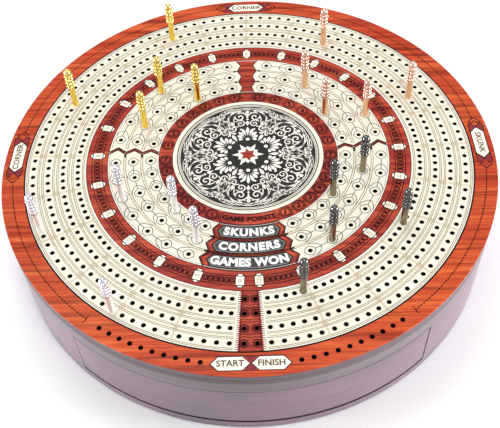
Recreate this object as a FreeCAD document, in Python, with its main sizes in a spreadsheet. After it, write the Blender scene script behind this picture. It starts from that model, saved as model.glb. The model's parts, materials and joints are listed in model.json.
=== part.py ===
import FreeCAD, Part
import os
import re
import Sketcher
from FreeCAD import Vector

# Round four-track cribbage board with a storage drawer in its side and metal pegs.
# Millimetres, +Z up. The origin is on the table, under the centre of the board.
# The drawer opens towards -Y. Angles are degrees from -Y, positive towards +X.

drivingSizes = [
    ("board_radius", 150.0, "outer radius of the whole board"),
    ("felt_height", 1.0, "thickness of the felt feet"),
    ("felt_radius", 8.0, "radius of one felt foot"),
    ("felt_circle", 128.0, "radius of the circle the feet stand on"),
    ("base_thickness", 6.0, "bottom plate"),
    ("case_height", 37.0, "height of the case that holds the drawer"),
    ("core_thickness", 9.0, "plain board between the case and the face"),
    ("face_thickness", 9.0, "face woods, and so the depth of every peg hole"),
    ("seam_gap", 0.1, "glue line between two neighbouring pieces"),
    ("seam_angle", 0.1, "the same at the ends of ring-shaped pieces, as an angle"),
    ("inlay_depth", 2.0, "depth of the tags, plaques, panels and star"),
    ("rim_border", 4.94, "from the outermost main track to the rim"),
    ("ring_border", 5.1, "from the innermost main track to the ring's inner edge"),
    ("sector_outer", 86.1, "outer radius of the scoring sectors"),
    ("sector_inner", 54.9, "inner radius of the scoring sectors"),
    ("disc_radius", 46.2, "radius of the centre medallion"),
    ("hole_radius", 1.4, "radius of every peg hole"),
    ("first_track", 104.3, "radius of the innermost main track"),
    ("track_pitch", 9.02, "distance from one main track to the next"),
    ("group_first", 10.57, "angle of the middle of the first group of five holes"),
    ("group_pitch", 14.73, "angle from one group to the next"),
    ("hole_step", 2.71, "angle between holes on the innermost track"),
    ("step_growth", 0.07, "added to that angle on each next track"),
    ("spine_angle", 3.15, "half the angle that the spine covers"),
    ("spine_hole_angle", 1.55, "angle of the spine's holes from its middle"),
    ("park_radius", 143.7, "radius of the parking holes in the rim"),
    ("park_first", 10.34, "angle of the first parking hole"),
    ("park_step", 2.59, "angle between parking holes"),
    ("first_lane", 59.7, "radius of the innermost scoring lane"),
    ("lane_pitch", 10.72, "distance from one scoring lane to the next"),
    ("lower_first", 24.8, "angle of the first hole in a lower sector"),
    ("lower_step", 10.45, "angle between holes in a lower sector"),
    ("upper_first", 101.2, "angle of the first hole in an upper sector"),
    ("upper_step", 11.57, "angle between holes in an upper sector"),
    ("label_notch", 17.6, "angle where two label rows meet at their ends"),
    ("label_tip", 20.2, "angle of the pointed end of each label row"),
    ("panel_edge", 15.0, "angle of the corners of a label panel"),
    ("panel_tip", 17.3, "angle of the point of a label panel"),
    ("panel_margin", 1.1, "wood left inside and outside a label panel"),
    ("bar_angle", 94.5, "angle of the bar between a lower and an upper sector"),
    ("bar_width", 2.0, "thickness of that bar"),
    ("bar_rise", 2.6, "angle from the valleys of the zigzag bar to its tips"),
    ("spoke_notch", 4.8, "half angle of the back spoke at the edges of its rows"),
    ("spoke_tip", 2.9, "half angle of the back spoke at the middle of its rows"),
    ("plaque_radius", 92.6, "radius of the circle of number plaques"),
    ("plaque_first", 3.2, "angle of the first number plaque from the spine"),
    ("plaque_length", 9.0, "size of a plaque along the radius"),
    ("plaque_width", 5.0, "size of a plaque across the radius"),
    ("plaque_corner", 1.3, "corner cut from each plaque"),
    ("tag_radius", 142.6, "radius of the middle of the rim tags"),
    ("tag_height", 8.0, "size of a rim tag along the radius"),
    ("tag_point", 4.0, "length of the pointed end of a rim tag"),
    ("side_tag_length", 25.5, "length of the tags at the sides and the back"),
    ("side_tag_angle", 91.7, "angle of the side tags"),
    ("end_tag_length", 20.6, "length of the two tags at the spine"),
    ("end_tag_gap", 0.6, "gap between the two tags at the spine"),
    ("star_outer", 5.2, "radius of the points of the centre star"),
    ("star_inner", 3.0, "radius of the valleys of the centre star"),
    ("bay_half_width", 98.0, "half the width of the drawer bay"),
    ("bay_back", 98.0, "distance from the centre to the back of the bay"),
    ("drawer_side_gap", 0.4, "gap between the drawer and each side of the bay"),
    ("drawer_gap", 0.5, "gap over, under and behind the drawer"),
    ("finger_gap", 1.8, "gap under the drawer front, for a fingertip"),
    ("front_thickness", 12.0, "curved front of the drawer"),
    ("tray_wall", 7.0, "sides and back of the drawer"),
    ("tray_floor", 3.0, "floor of the drawer"),
    ("tray_drop", 2.0, "how far the drawer's walls stay under its front's top"),
    ("divider_wall", 5.0, "thickness of the drawer's dividers"),
    ("divider_drop", 5.0, "how far the dividers stay under the walls' top"),
    ("cross_place", -9.0, "y of the middle of the cross divider"),
    ("peg_well_half", 17.5, "half the width of the peg well"),
    ("magnet_radius", 4.0, "radius of a closing magnet"),
    ("magnet_length", 3.0, "thickness of a closing magnet"),
    ("magnet_place", 40.0, "distance of a closing magnet from the middle"),
    ("screw_circle", 140.0, "radius of the circle of base screws"),
    ("screw_first", 60.0, "angle of the first base screw"),
    ("screw_pitch", 40.0, "angle between base screws"),
    ("screw_radius", 1.5, "shank of a base screw"),
    ("screw_length", 18.0, "length of a base screw"),
    ("screw_head_radius", 3.0, "head of a base screw"),
    ("screw_head_depth", 1.5, "height of the screw's countersunk head"),
    ("screw_gap", 0.05, "radial gap round a screw"),
    ("pin_gap", 0.05, "radial gap round the pin of a peg in its hole"),
    ("tip_gap", 1.0, "gap under the tip of a peg in its hole"),
    ("shank_radius", 1.85, "plain lower part of a peg"),
    ("shank_length", 14.5, "length of the plain part"),
    ("grip_radius", 2.4, "ridged upper part of a peg"),
    ("ring_pitch", 2.7, "height of one ridge of the grip"),
    ("groove_depth", 0.45, "depth of the grooves between ridges"),
    ("trim_margin", 3.0, "how far a cutter reaches past what it cuts"),
]

trackCount = 4
groupHoles = 5
groupCount = 24
parkCount = 10
laneCount = 3
laneHoles = 7
plaqueCount = 25
screwCount = 7
feltCount = 5
ridgeCount = 5
grooveEnd = 0.3  # shares of a ridge's pitch, from the foot of its groove
ridgeEnd = 0.8
starPoints = 6
starTurn = 10  # angle of the first point of the star

# Heights of the layers, from the table up.
baseLevel = "felt_height"
caseLevel = "(felt_height + base_thickness)"
coreLevel = "(felt_height + base_thickness + case_height)"
faceLevel = "(felt_height + base_thickness + case_height + core_thickness)"
topLevel = "(felt_height + base_thickness + case_height + core_thickness + face_thickness)"
inlayLevel = f"({topLevel} - inlay_depth)"

# Radii that follow the main tracks, one just outside the board for outlines that are
# trimmed later, and one well outside it for the cutters that trim them.
rimInner = f"(first_track + {trackCount - 1} * track_pitch + rim_border)"
trackInner = "(first_track - ring_border)"
outlineReach = "(board_radius + trim_margin)"
farOut = "(2 * board_radius)"

# The drawer's own sizes.
drawerHalf = "(bay_half_width - drawer_side_gap)"
drawerBack = "(bay_back - drawer_gap)"
trayLevel = f"({caseLevel} + drawer_gap)"
frontLevel = f"({caseLevel} + finger_gap)"
frontHeight = "(case_height - finger_gap - drawer_gap)"
trayHeight = "(case_height - 2 * drawer_gap - tray_drop)"
dividerLevel = f"({trayLevel} + tray_floor)"
dividerHeight = "(case_height - 2 * drawer_gap - tray_drop - tray_floor - divider_drop)"
frontInner = "(board_radius - front_thickness)"
trayInner = f"({drawerHalf} - tray_wall)"

# Each peg: metal, number, where it stands. Main holes are (track, group, hole);
# scoring holes are (lane, side, which sector, hole).
pegPlaces = [
    ("brass", 1, "main", (2, 13, 3)),
    ("brass", 2, "main", (2, 16, 2)),
    ("brass", 3, "lane", (2, -1, "upper", 3)),
    ("brass", 4, "lane", (1, -1, "upper", 1)),
    ("brass", 5, "lane", (0, -1, "upper", 4)),
    ("copper", 1, "main", (1, 10, 0)),
    ("copper", 2, "main", (1, 7, 2)),
    ("copper", 3, "lane", (1, 1, "upper", 4)),
    ("copper", 4, "lane", (0, 1, "upper", 2)),
    ("copper", 5, "lane", (2, 1, "upper", 1)),
    ("black", 1, "lane", (1, 1, "lower", 5)),
    ("black", 2, "lane", (0, 1, "lower", 3)),
    ("black", 3, "main", (0, 3, 3)),
    ("black", 4, "lane", (2, 1, "lower", 1)),
    ("black", 5, "main", (0, 0, 4)),
    ("silver", 1, "main", (3, 19, 3)),
    ("silver", 2, "main", (3, 21, 4)),
    ("silver", 3, "lane", (2, -1, "lower", 4)),
    ("silver", 4, "lane", (0, -1, "lower", 2)),
    ("silver", 5, "lane", (1, -1, "lower", 0)),
]

doc = FreeCAD.newDocument("cribbage_board")
subParts = []


def writeSheet():
    """One row for each driving size: what it is, its value, its alias."""
    sheet = doc.addObject("Spreadsheet::Sheet", "dims")
    for row, (alias, value, note) in enumerate(drivingSizes, 1):
        sheet.set(f"A{row}", note)
        sheet.set(f"B{row}", str(value))
        sheet.setAlias(f"B{row}", alias)
    doc.recompute()
    return sheet


def linked(text):
    """Every word with an underscore is an alias of the sheet."""
    return re.sub(r"[a-z]+(?:_[a-z]+)+", lambda word: "dims." + word.group(0), text)


def number(text):
    """The value that an expression has now."""
    value = dims.evalExpression(linked(text))
    return float(getattr(value, "Value", value))


def bind(feature, path, text):
    """Bind a property to an expression of the driving sizes."""
    feature.setExpression(path, linked(text))


def polar(radius, angle):
    """The x and y of a point at this radius and angle."""
    return (f"({radius}) * sin(({angle}) * 1deg)", f"-({radius}) * cos(({angle}) * 1deg)")


def beside(radius, angle, across, outward):
    """The x and y of a point given from a place on a circle, across and outward."""
    reach = f"(({radius}) + ({outward}))"
    turn = f"(({angle}) * 1deg)"
    return (
        f"{reach} * sin{turn} + ({across}) * cos{turn}",
        f"-{reach} * cos{turn} + ({across}) * sin{turn}",
    )


def originPlane(body, role):
    """The plane or axis of the body's own origin that has this role."""
    for feature in body.Origin.OriginFeatures:
        if feature.Role == role:
            return feature
    raise RuntimeError("no " + role)


def newBody(label):
    body = doc.addObject("PartDesign::Body", label)
    body.Label = label
    body.AllowCompound = True
    return body


def newSketch(body, level, plane="XY_Plane"):
    """An empty sketch on one of the body's planes, lifted by level."""
    sketch = body.newObject("Sketcher::SketchObject", body.Name + "_sketch")
    sketch.AttachmentSupport = (originPlane(body, plane), [""])
    sketch.MapMode = "FlatFace"
    bind(sketch, "AttachmentOffset.Base.z", level)
    return sketch


def holdPoint(sketch, geometry, place, point):
    """Fix one point of the sketch at an (x, y) pair of expressions."""
    for kind, axis, text in (("DistanceX", -2, point[0]), ("DistanceY", -1, point[1])):
        if text == "0":
            sketch.addConstraint(Sketcher.Constraint("PointOnObject", geometry, place, axis))
            continue
        value = number(text)
        row = sketch.addConstraint(Sketcher.Constraint(kind, -1, 1, geometry, place, value))
        bind(sketch, f"Constraints[{row}]", text)


def drawPolygon(sketch, points):
    """A closed outline of straight lines through the given points."""
    corners = [Vector(number(x), number(y), 0) for x, y in points]
    lines = []
    for start, end in zip(corners, corners[1:] + corners[:1]):
        lines.append(sketch.addGeometry(Part.LineSegment(start, end)))
    for line, following in zip(lines, lines[1:] + lines[:1]):
        sketch.addConstraint(Sketcher.Constraint("Coincident", line, 2, following, 1))
    for line, point in zip(lines, points):
        holdPoint(sketch, line, 1, point)


def drawCircles(sketch, centres, radius):
    """Circles of one radius on the given centres."""
    first = None
    for centre in centres:
        middle = Vector(number(centre[0]), number(centre[1]), 0)
        circle = sketch.addGeometry(Part.Circle(middle, Vector(0, 0, 1), number(radius)))
        holdPoint(sketch, circle, 3, centre)
        if first is None:
            first = circle
            row = sketch.addConstraint(Sketcher.Constraint("Radius", circle, number(radius)))
            bind(sketch, f"Constraints[{row}]", radius)
        else:
            sketch.addConstraint(Sketcher.Constraint("Equal", first, circle))


def addPad(body, sketch, length):
    """Raise the sketch upwards from its level."""
    pad = body.newObject("PartDesign::Pad", body.Name + "_pad")
    pad.Profile = sketch
    pad.Refine = False
    bind(pad, "Length", length)
    doc.recompute()
    return pad


def addPocket(body, sketch, depth):
    """Cut the sketch downwards from its level, and make sure that it cuts."""
    before = body.Shape.Volume
    pocket = body.newObject("PartDesign::Pocket", body.Name + "_pocket")
    pocket.Profile = sketch
    pocket.Refine = False
    bind(pocket, "Length", depth)
    doc.recompute()
    if body.Shape.Volume >= before:
        raise RuntimeError(body.Label + ": a pocket cuts nothing")
    return pocket


def addPattern(body, feature, step, count, backwards=False):
    """Repeat a feature round the body's own Z axis."""
    pattern = body.newObject("PartDesign::PolarPattern", body.Name + "_pattern")
    pattern.Originals = [feature]
    pattern.Refine = False
    pattern.Axis = (originPlane(body, "Z_Axis"), [""])
    pattern.Reversed = backwards
    pattern.Occurrences = count
    bind(pattern, "Angle", f"({count} - 1) * ({step})")
    body.Tip = pattern
    doc.recompute()
    return pattern


def addDisc(body, radius, level, height):
    sketch = newSketch(body, level)
    drawCircles(sketch, [("0", "0")], radius)
    return addPad(body, sketch, height)


def boreMiddle(body, radius, level, depth):
    """Cut away everything inside this radius."""
    sketch = newSketch(body, level)
    drawCircles(sketch, [("0", "0")], radius)
    return addPocket(body, sketch, depth)


def turnOutside(body, radius, level, depth):
    """Cut away everything outside this radius."""
    sketch = newSketch(body, level)
    drawCircles(sketch, [("0", "0")], radius)
    drawCircles(sketch, [("0", "0")], farOut)
    return addPocket(body, sketch, depth)


def ringPiece(label, outline, inner, outer, level, height):
    """A straight-sided outline, trimmed to the ring between two radii."""
    body = newBody(label)
    top = f"({level} + {height})"
    sketch = newSketch(body, level)
    drawPolygon(sketch, outline)
    addPad(body, sketch, height)
    if outer:
        turnOutside(body, outer, top, height)
    if inner:
        boreMiddle(body, inner, top, height)
    return body


def blockPiece(label, low, high):
    """A rectangular board between two corners, given as expressions."""
    body = newBody(label)
    sketch = newSketch(body, low[2])
    corners = [(low[0], low[1]), (high[0], low[1]), (high[0], high[1]), (low[0], high[1])]
    drawPolygon(sketch, corners)
    addPad(body, sketch, f"({high[2]}) - ({low[2]})")
    return body


def cutWith(label, base, tools):
    """The base with the tools taken out, as a body that can be worked further."""
    cutter = doc.addObject("Part::MultiFuse", label + "_cutter")
    cutter.Shapes = tools
    cut = doc.addObject("Part::Cut", label + "_cut")
    cut.Base = base
    cut.Tool = cutter if len(tools) > 1 else tools[0]
    doc.recompute()
    body = newBody(label)
    body.BaseFeature = cut
    doc.recompute()
    return body


def drillRow(body, radii, first, step, count, level, backwards=False):
    """One hole on each radius at the first angle, repeated round the board."""
    side = "-1" if backwards else "1"
    sketch = newSketch(body, level)
    centres = [polar(radius, f"{side} * ({first})") for radius in radii]
    drawCircles(sketch, centres, "hole_radius")
    pocket = addPocket(body, sketch, "face_thickness")
    addPattern(body, pocket, step, count, backwards)


def trackRadius(track):
    return f"(first_track + {track} * track_pitch)"


def trackStep(track):
    return f"(hole_step + {track} * step_growth)"


def laneRadius(lane):
    return f"(first_lane + {lane} * lane_pitch)"


def keep(body):
    """List a finished piece, to be written as its own node."""
    subParts.append(body)


def mirrored(points, side):
    """The points as they are for side 1, or on the other side for -1."""
    return [(f"{side} * ({x})", y) for x, y in points]


def rowEdge(row):
    """Radius of the border between two scoring rows, counted from the inside."""
    return f"(sector_inner + {row} * (sector_outer - sector_inner) / {laneCount})"


def barPoint(row, up, sign, inset):
    """A corner of the zigzag bar that parts a lower sector from an upper one."""
    radius = rowEdge(row)
    half = f"(bar_width / 2 + {inset}) / {radius} * 180 / pi"
    return polar(radius, f"bar_angle + {up} * bar_rise / 2 + {sign} * {half}")


def barSide(sign, inset):
    """The bar's lower side (-1) or upper side (1), from the inside outwards."""
    points = [barPoint(-1, -1, sign, inset)]
    for row in range(laneCount):
        points.append(barPoint(row, -1, sign, inset))
        points.append(barPoint(row + 0.5, 1, sign, inset))
    points.append(barPoint(laneCount, -1, sign, inset))
    points.append(polar(outlineReach, f"bar_angle + {sign} * seam_angle"))
    return points


def lowerOutline(inset, turn):
    """A lower sector: notched round the label rows, up to the bar."""
    points = [polar(rowEdge(-1), f"label_notch + {turn}")]
    for row in range(laneCount):
        points.append(polar(rowEdge(row), f"label_notch + {turn}"))
        points.append(polar(rowEdge(row + 0.5), f"label_tip + {turn}"))
    points.append(polar(rowEdge(laneCount), f"label_notch + {turn}"))
    points.append(polar(outlineReach, f"label_notch + {turn}"))
    return points + barSide(-1, inset)[::-1]


def upperOutline(inset, turn):
    """An upper sector: from the bar to the notched spoke at the back."""
    notch = f"180 - spoke_notch - {turn}"
    points = [polar(outlineReach, notch), polar(rowEdge(laneCount), notch)]
    for row in reversed(range(laneCount)):
        points.append(polar(rowEdge(row + 0.5), f"180 - spoke_tip - {turn}"))
        points.append(polar(rowEdge(row), notch))
    return barSide(1, inset) + points + [polar(rowEdge(-1), notch)]


def panelOutline(row, turn):
    """A label panel with a pointed end on each side."""
    edge = f"(panel_edge - {turn})"
    tip = f"(panel_tip - {turn})"
    right = [
        polar(rowEdge(row - 0.5), edge),
        polar(f"({rowEdge(row)} + panel_margin)", edge),
        polar(rowEdge(row + 0.5), tip),
        polar(f"({rowEdge(row + 1)} - panel_margin)", edge),
        polar(rowEdge(row + 1.5), edge),
    ]
    return right + mirrored(right, -1)[::-1]


def panelPiece(label, row, seam, turn, level, height):
    inner = f"({rowEdge(row)} + panel_margin + {seam})"
    outer = f"({rowEdge(row + 1)} - panel_margin - {seam})"
    return ringPiece(label, panelOutline(row, turn), inner, outer, level, height)


def spineOutline(turn):
    """The spine between the two ends of the main tracks."""
    half = f"(spine_angle - {turn})"
    inner = f"({trackInner} - trim_margin)"
    outer = f"({rimInner} + trim_margin)"
    right = [polar(inner, half), polar(outer, half)]
    return right + mirrored(right, -1)[::-1]


def tagOutline(angle, length, across, inset):
    """A long hexagon on the rim, turned to face the middle of the board."""
    point = f"(({length}) / 2 - ({inset}))"
    corner = f"(({length}) / 2 - tag_point)"
    rise = f"(tag_height / 2 - ({inset}))"
    places = [
        (f"{across} + {point}", "0"),
        (f"{across} + {corner}", rise),
        (f"{across} - {corner}", rise),
        (f"{across} - {point}", "0"),
        (f"{across} - {corner}", f"-{rise}"),
        (f"{across} + {corner}", f"-{rise}"),
    ]
    return [beside("tag_radius", angle, along, outward) for along, outward in places]


def plaqueOutline(inset):
    """A number plaque with its corners cut."""
    across = f"(plaque_width / 2 - {inset})"
    along = f"(plaque_length / 2 - {inset})"
    slim = f"({across} - plaque_corner)"
    short = f"({along} - plaque_corner)"
    places = [
        (across, short), (slim, along), (f"-{slim}", along), (f"-{across}", short),
        (f"-{across}", f"-{short}"), (f"-{slim}", f"-{along}"), (slim, f"-{along}"), (across, f"-{short}"),
    ]
    return [beside("plaque_radius", "plaque_first", u, v) for u, v in places]


def screwSet(label, grow):
    """Countersunk wood screws, driven up through the bottom plate."""
    body = newBody(label)
    sketch = newSketch(body, "screw_circle * cos(screw_first * 1deg)", "XZ_Plane")
    bind(sketch, "AttachmentOffset.Base.x", "screw_circle * sin(screw_first * 1deg)")
    headTop = f"({baseLevel} + screw_head_depth)"
    tip = f"({baseLevel} + screw_length + {grow})"
    drawPolygon(sketch, [
        ("0", baseLevel),
        (f"screw_head_radius + {grow}", baseLevel),
        (f"screw_radius + {grow}", headTop),
        (f"screw_radius + {grow}", tip),
        ("0", tip),
    ])
    turned = addTurning(body, sketch)
    addPattern(body, turned, "screw_pitch", screwCount)
    return body


def addTurning(body, sketch):
    """Turn the sketch full circle round its own upright axis."""
    turned = body.newObject("PartDesign::Revolution", body.Name + "_turned")
    turned.Profile = sketch
    turned.ReferenceAxis = (sketch, ["V_Axis"])
    turned.Angle = 360
    doc.recompute()
    return turned


def magnetPair(label, place, grow):
    """Two round magnets side by side, from y = place towards the front."""
    body = newBody(label)
    sketch = newSketch(body, f"-({place})", "XZ_Plane")
    height = f"{trayLevel} + {trayHeight} / 2"
    drawCircles(sketch, [("magnet_place", height), ("-magnet_place", height)], f"magnet_radius + {grow}")
    addPad(body, sketch, "magnet_length")
    return body


def makeBase():
    """Felt feet, the bottom plate and its screws."""
    feet = newBody("felt_feet")
    sketch = newSketch(feet, "0")
    drawCircles(sketch, [polar("felt_circle", "180")], "felt_radius")
    pad = addPad(feet, sketch, "felt_height")
    addPattern(feet, pad, f"360 / {feltCount}", feltCount)
    keep(feet)
    blank = newBody("base_blank")
    addDisc(blank, "board_radius", baseLevel, "base_thickness")
    keep(cutWith("base_plate", blank, [screwSpace]))
    keep(screwSet("base_screws", "0"))


def makeCase():
    """The round case with its bay open to the front, and the core board on it."""
    blank = newBody("case_blank")
    addDisc(blank, "board_radius", caseLevel, "case_height")
    magnetSpace = magnetPair("case_magnet_space", "bay_back + magnet_length", "seam_gap")
    case = cutWith("case_body", blank, [screwSpace, magnetSpace])
    sketch = newSketch(case, coreLevel)
    drawPolygon(sketch, [
        ("-bay_half_width", f"-{farOut}"),
        ("bay_half_width", f"-{farOut}"),
        ("bay_half_width", "bay_back"),
        ("-bay_half_width", "bay_back"),
    ])
    addPocket(case, sketch, "case_height")
    keep(case)
    keep(magnetPair("case_magnets", "bay_back + magnet_length", "0"))
    core = newBody("core_board")
    addDisc(core, "board_radius", coreLevel, "core_thickness")
    keep(core)


def makeDrawer():
    """The drawer: curved front, floor, walls, dividers and its magnets."""
    low = "-(board_radius + trim_margin)"
    inside = f"({frontInner} - seam_gap)"
    front = [(f"-{drawerHalf}", "-bay_half_width / 2"), (drawerHalf, "-bay_half_width / 2"),
             (drawerHalf, low), (f"-{drawerHalf}", low)]
    keep(ringPiece("drawer_front", front, frontInner, "board_radius", frontLevel, frontHeight))
    floor = [(f"-{drawerHalf}", low), (drawerHalf, low),
             (drawerHalf, drawerBack), (f"-{drawerHalf}", drawerBack)]
    keep(ringPiece("drawer_floor", floor, None, inside, trayLevel, "tray_floor"))
    wallHeight = f"({trayHeight} - tray_floor)"
    side = [(trayInner, low), (drawerHalf, low), (drawerHalf, drawerBack), (trayInner, drawerBack)]
    for name, sign in (("left", -1), ("right", 1)):
        outline = mirrored(side, sign)
        keep(ringPiece(f"drawer_side_{name}", outline, None, inside, dividerLevel, wallHeight))
    wide = f"({trayInner} - seam_gap)"
    wallTop = f"({dividerLevel} + {wallHeight})"
    backStart = f"({drawerBack} - tray_wall)"
    low, high = (f"-{wide}", backStart, dividerLevel), (wide, drawerBack, wallTop)
    blank = blockPiece("drawer_back_blank", low, high)
    keep(cutWith("drawer_back", blank, [magnetPair("drawer_magnet_space", drawerBack, "seam_gap")]))
    keep(magnetPair("drawer_magnets", drawerBack, "0"))
    top = f"({dividerLevel} + {dividerHeight})"
    crossFront = "(cross_place - divider_wall / 2)"
    crossBack = "(cross_place + divider_wall / 2)"
    keep(blockPiece("cross_divider", (f"-{wide}", crossFront, dividerLevel), (wide, crossBack, top)))
    for name, sign in (("left", -1), ("right", 1)):
        near = f"{sign} * peg_well_half"
        far = f"{sign} * (peg_well_half + divider_wall)"
        start = (near, f"({crossBack} + seam_gap)", dividerLevel)
        end = (far, f"({backStart} - seam_gap)", top)
        keep(blockPiece(f"well_divider_{name}", start, end))


def makeRim():
    """The rim, its parking holes, and the five tags let into it."""
    blank = newBody("rim_blank")
    addDisc(blank, "board_radius", faceLevel, "face_thickness")
    boreMiddle(blank, rimInner, topLevel, "face_thickness")
    endPlace = "(end_tag_gap / 2 + end_tag_length / 2)"
    tags = [
        ("start_tag", "0", "end_tag_length", f"-{endPlace}"),
        ("finish_tag", "0", "end_tag_length", endPlace),
        ("corner_tag_left", "-side_tag_angle", "side_tag_length", "0"),
        ("corner_tag_back", "180", "side_tag_length", "0"),
        ("skunk_tag", "side_tag_angle", "side_tag_length", "0"),
    ]
    spaces = []
    for name, angle, length, across in tags:
        outline = tagOutline(angle, length, across, "0")
        spaces.append(ringPiece(name + "_space", outline, None, None, inlayLevel, "inlay_depth"))
        outline = tagOutline(angle, length, across, "seam_gap")
        keep(ringPiece(name, outline, None, None, inlayLevel, "inlay_depth"))
    rim = cutWith("rim_ring", blank, spaces)
    for backwards in (False, True):
        drillRow(rim, ["park_radius"], "park_first", "park_step", parkCount, topLevel, backwards)
    keep(rim)


def makeTracks():
    """The ring of main tracks and the spine between its ends."""
    inner = f"({trackInner} + seam_gap)"
    outer = f"({rimInner} - seam_gap)"
    ring = newBody("main_tracks")
    addDisc(ring, outer, faceLevel, "face_thickness")
    boreMiddle(ring, inner, topLevel, "face_thickness")
    sketch = newSketch(ring, topLevel)
    drawPolygon(sketch, spineOutline("0"))
    addPocket(ring, sketch, "face_thickness")
    centres = []
    for track in range(trackCount):
        for hole in range(groupHoles):
            centres.append(polar(trackRadius(track), holeAngle(track, 0, hole)))
    sketch = newSketch(ring, topLevel)
    drawCircles(sketch, centres, "hole_radius")
    pocket = addPocket(ring, sketch, "face_thickness")
    addPattern(ring, pocket, "group_pitch", groupCount)
    keep(ring)
    spine = ringPiece("spine_strip", spineOutline("seam_angle"), inner, outer, faceLevel, "face_thickness")
    radii = [trackRadius(track) for track in range(trackCount)]
    drillRow(spine, radii, "-spine_hole_angle", "2 * spine_hole_angle", 2, topLevel)
    keep(spine)


def holeAngle(track, group, hole):
    """Angle of a main-track hole: its group, then its place in the group of five."""
    middle = (groupHoles - 1) / 2
    return f"group_first + {group} * group_pitch + ({hole} - {middle}) * {trackStep(track)}"


def makeScoring():
    """The frame of the scoring area with its sectors, panels and plaques."""
    sectors = [("lower", lowerOutline, "lower_first", "lower_step"),
               ("upper", upperOutline, "upper_first", "upper_step")]
    radii = [laneRadius(lane) for lane in range(laneCount)]
    spaces = []
    for name, outline, first, step in sectors:
        for side, sign in (("left", -1), ("right", 1)):
            label = f"{name}_sector_{side}"
            plain = mirrored(outline("0", "0"), sign)
            spaces.append(ringPiece(label + "_space", plain, "sector_inner", "sector_outer",
                                    faceLevel, "face_thickness"))
            fitted = mirrored(outline("seam_gap", "seam_angle"), sign)
            sector = ringPiece(label, fitted, "(sector_inner + seam_gap)", "(sector_outer - seam_gap)",
                               faceLevel, "face_thickness")
            drillRow(sector, radii, first, step, laneHoles, topLevel, sign < 0)
            keep(sector)
    for row, name in enumerate(("skunks_panel", "corners_panel", "games_panel")):
        spaces.append(panelPiece(name + "_space", row, "0", "0", inlayLevel, "inlay_depth"))
        keep(panelPiece(name, row, "seam_gap", "seam_angle", inlayLevel, "inlay_depth"))
    blank = newBody("frame_blank")
    addDisc(blank, trackInner, faceLevel, "face_thickness")
    boreMiddle(blank, "disc_radius", topLevel, "face_thickness")
    frame = cutWith("scoring_frame", blank, spaces)
    sketch = newSketch(frame, topLevel)
    drawPolygon(sketch, plaqueOutline("0"))
    pocket = addPocket(frame, sketch, "inlay_depth")
    addPattern(frame, pocket, "group_pitch", plaqueCount)
    keep(frame)
    plaques = ringPiece("number_plaques", plaqueOutline("seam_gap"), None, None, inlayLevel, "inlay_depth")
    addPattern(plaques, plaques.Tip, "group_pitch", plaqueCount)
    keep(plaques)


def makeMedallion():
    """The centre disc with a six-pointed star let into it."""
    disc = newBody("medallion_disc")
    addDisc(disc, "(disc_radius - seam_gap)", faceLevel, "face_thickness")
    sketch = newSketch(disc, topLevel)
    drawPolygon(sketch, starOutline("0"))
    addPocket(disc, sketch, "inlay_depth")
    keep(disc)
    keep(ringPiece("medallion_star", starOutline("seam_gap"), None, None, inlayLevel, "inlay_depth"))


def starOutline(inset):
    points = []
    for corner in range(starPoints):
        points.append(polar(f"(star_outer - {inset})", f"{360 / starPoints * corner + starTurn}"))
        points.append(polar(f"(star_inner - {inset})", f"{360 / starPoints * (corner + 0.5) + starTurn}"))
    return points


def pegPlace(kind, place):
    """The x and y of the hole that a peg stands in."""
    if kind == "main":
        track, group, hole = place
        return polar(trackRadius(track), holeAngle(track, group, hole))
    lane, side, sector, hole = place
    angle = f"{side} * ({sector}_first + {hole} * {sector}_step)"
    return polar(laneRadius(lane), angle)


def makePeg(label, place):
    """A turned metal peg: pin, plain shank, ridged grip and domed end."""
    peg = newBody(label)
    sketch = newSketch(peg, "0", "XZ_Plane")
    groove = "(grip_radius - groove_depth)"
    pin = "(hole_radius - pin_gap)"
    tip = "-(face_thickness - tip_gap)"
    outline = [
        ("0", tip),
        (pin, tip),
        (pin, "0"),
        ("shank_radius", "0"),
        ("shank_radius", "shank_length"),
    ]
    for ridge in range(ridgeCount):
        foot = f"shank_length + {ridge} * ring_pitch"
        outline.append((groove, f"({foot})" if ridge else "shank_length"))
        outline.append(("grip_radius", f"({foot} + {grooveEnd} * ring_pitch)"))
        outline.append(("grip_radius", f"({foot} + {ridgeEnd} * ring_pitch)"))
    gripTop = f"(shank_length + {ridgeCount} * ring_pitch)"
    outline.append((groove, gripTop))
    outline.append(("0", gripTop))
    drawPolygon(sketch, outline)
    addTurning(peg, sketch)
    dome = peg.newObject("PartDesign::AdditiveSphere", label + "_dome")
    dome.AttachmentSupport = (originPlane(peg, "XY_Plane"), [""])
    dome.MapMode = "FlatFace"
    bind(dome, "AttachmentOffset.Base.z", gripTop)
    bind(dome, "Radius", groove)
    x, y = pegPlace(*place)
    bind(peg, "Placement.Base.x", x)
    bind(peg, "Placement.Base.y", y)
    bind(peg, "Placement.Base.z", topLevel)
    doc.recompute()
    keep(peg)


def makePegs():
    for metal, count, kind, place in pegPlaces:
        makePeg(f"peg_{metal}_{count}", (kind, place))


def checkAll():
    """Stop if anything in the document failed or any piece has no sound solid."""
    doc.recompute()
    for item in doc.Objects:
        if "Invalid" in item.State or "Error" in item.State:
            raise RuntimeError(f"{item.Label} failed: {item.State}")
    for piece in subParts:
        if piece.Shape.isNull() or not piece.Shape.isValid() or not piece.Shape.Solids:
            raise RuntimeError(piece.Label + " has no sound solid")


def writeAll():
    """Write each piece as a STEP file named after its node."""
    os.makedirs("parts", exist_ok=True)
    for piece in subParts:
        piece.Shape.exportStep(os.path.join("parts", piece.Label + ".step"))
        print(piece.Label, len(piece.Shape.Solids), round(piece.Shape.Volume))


dims = writeSheet()
screwSpace = screwSet("screw_space", "screw_gap")
makeBase()
makeCase()
makeDrawer()
makeRim()
makeTracks()
makeScoring()
makeMedallion()
makePegs()
checkAll()
writeAll()
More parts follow.
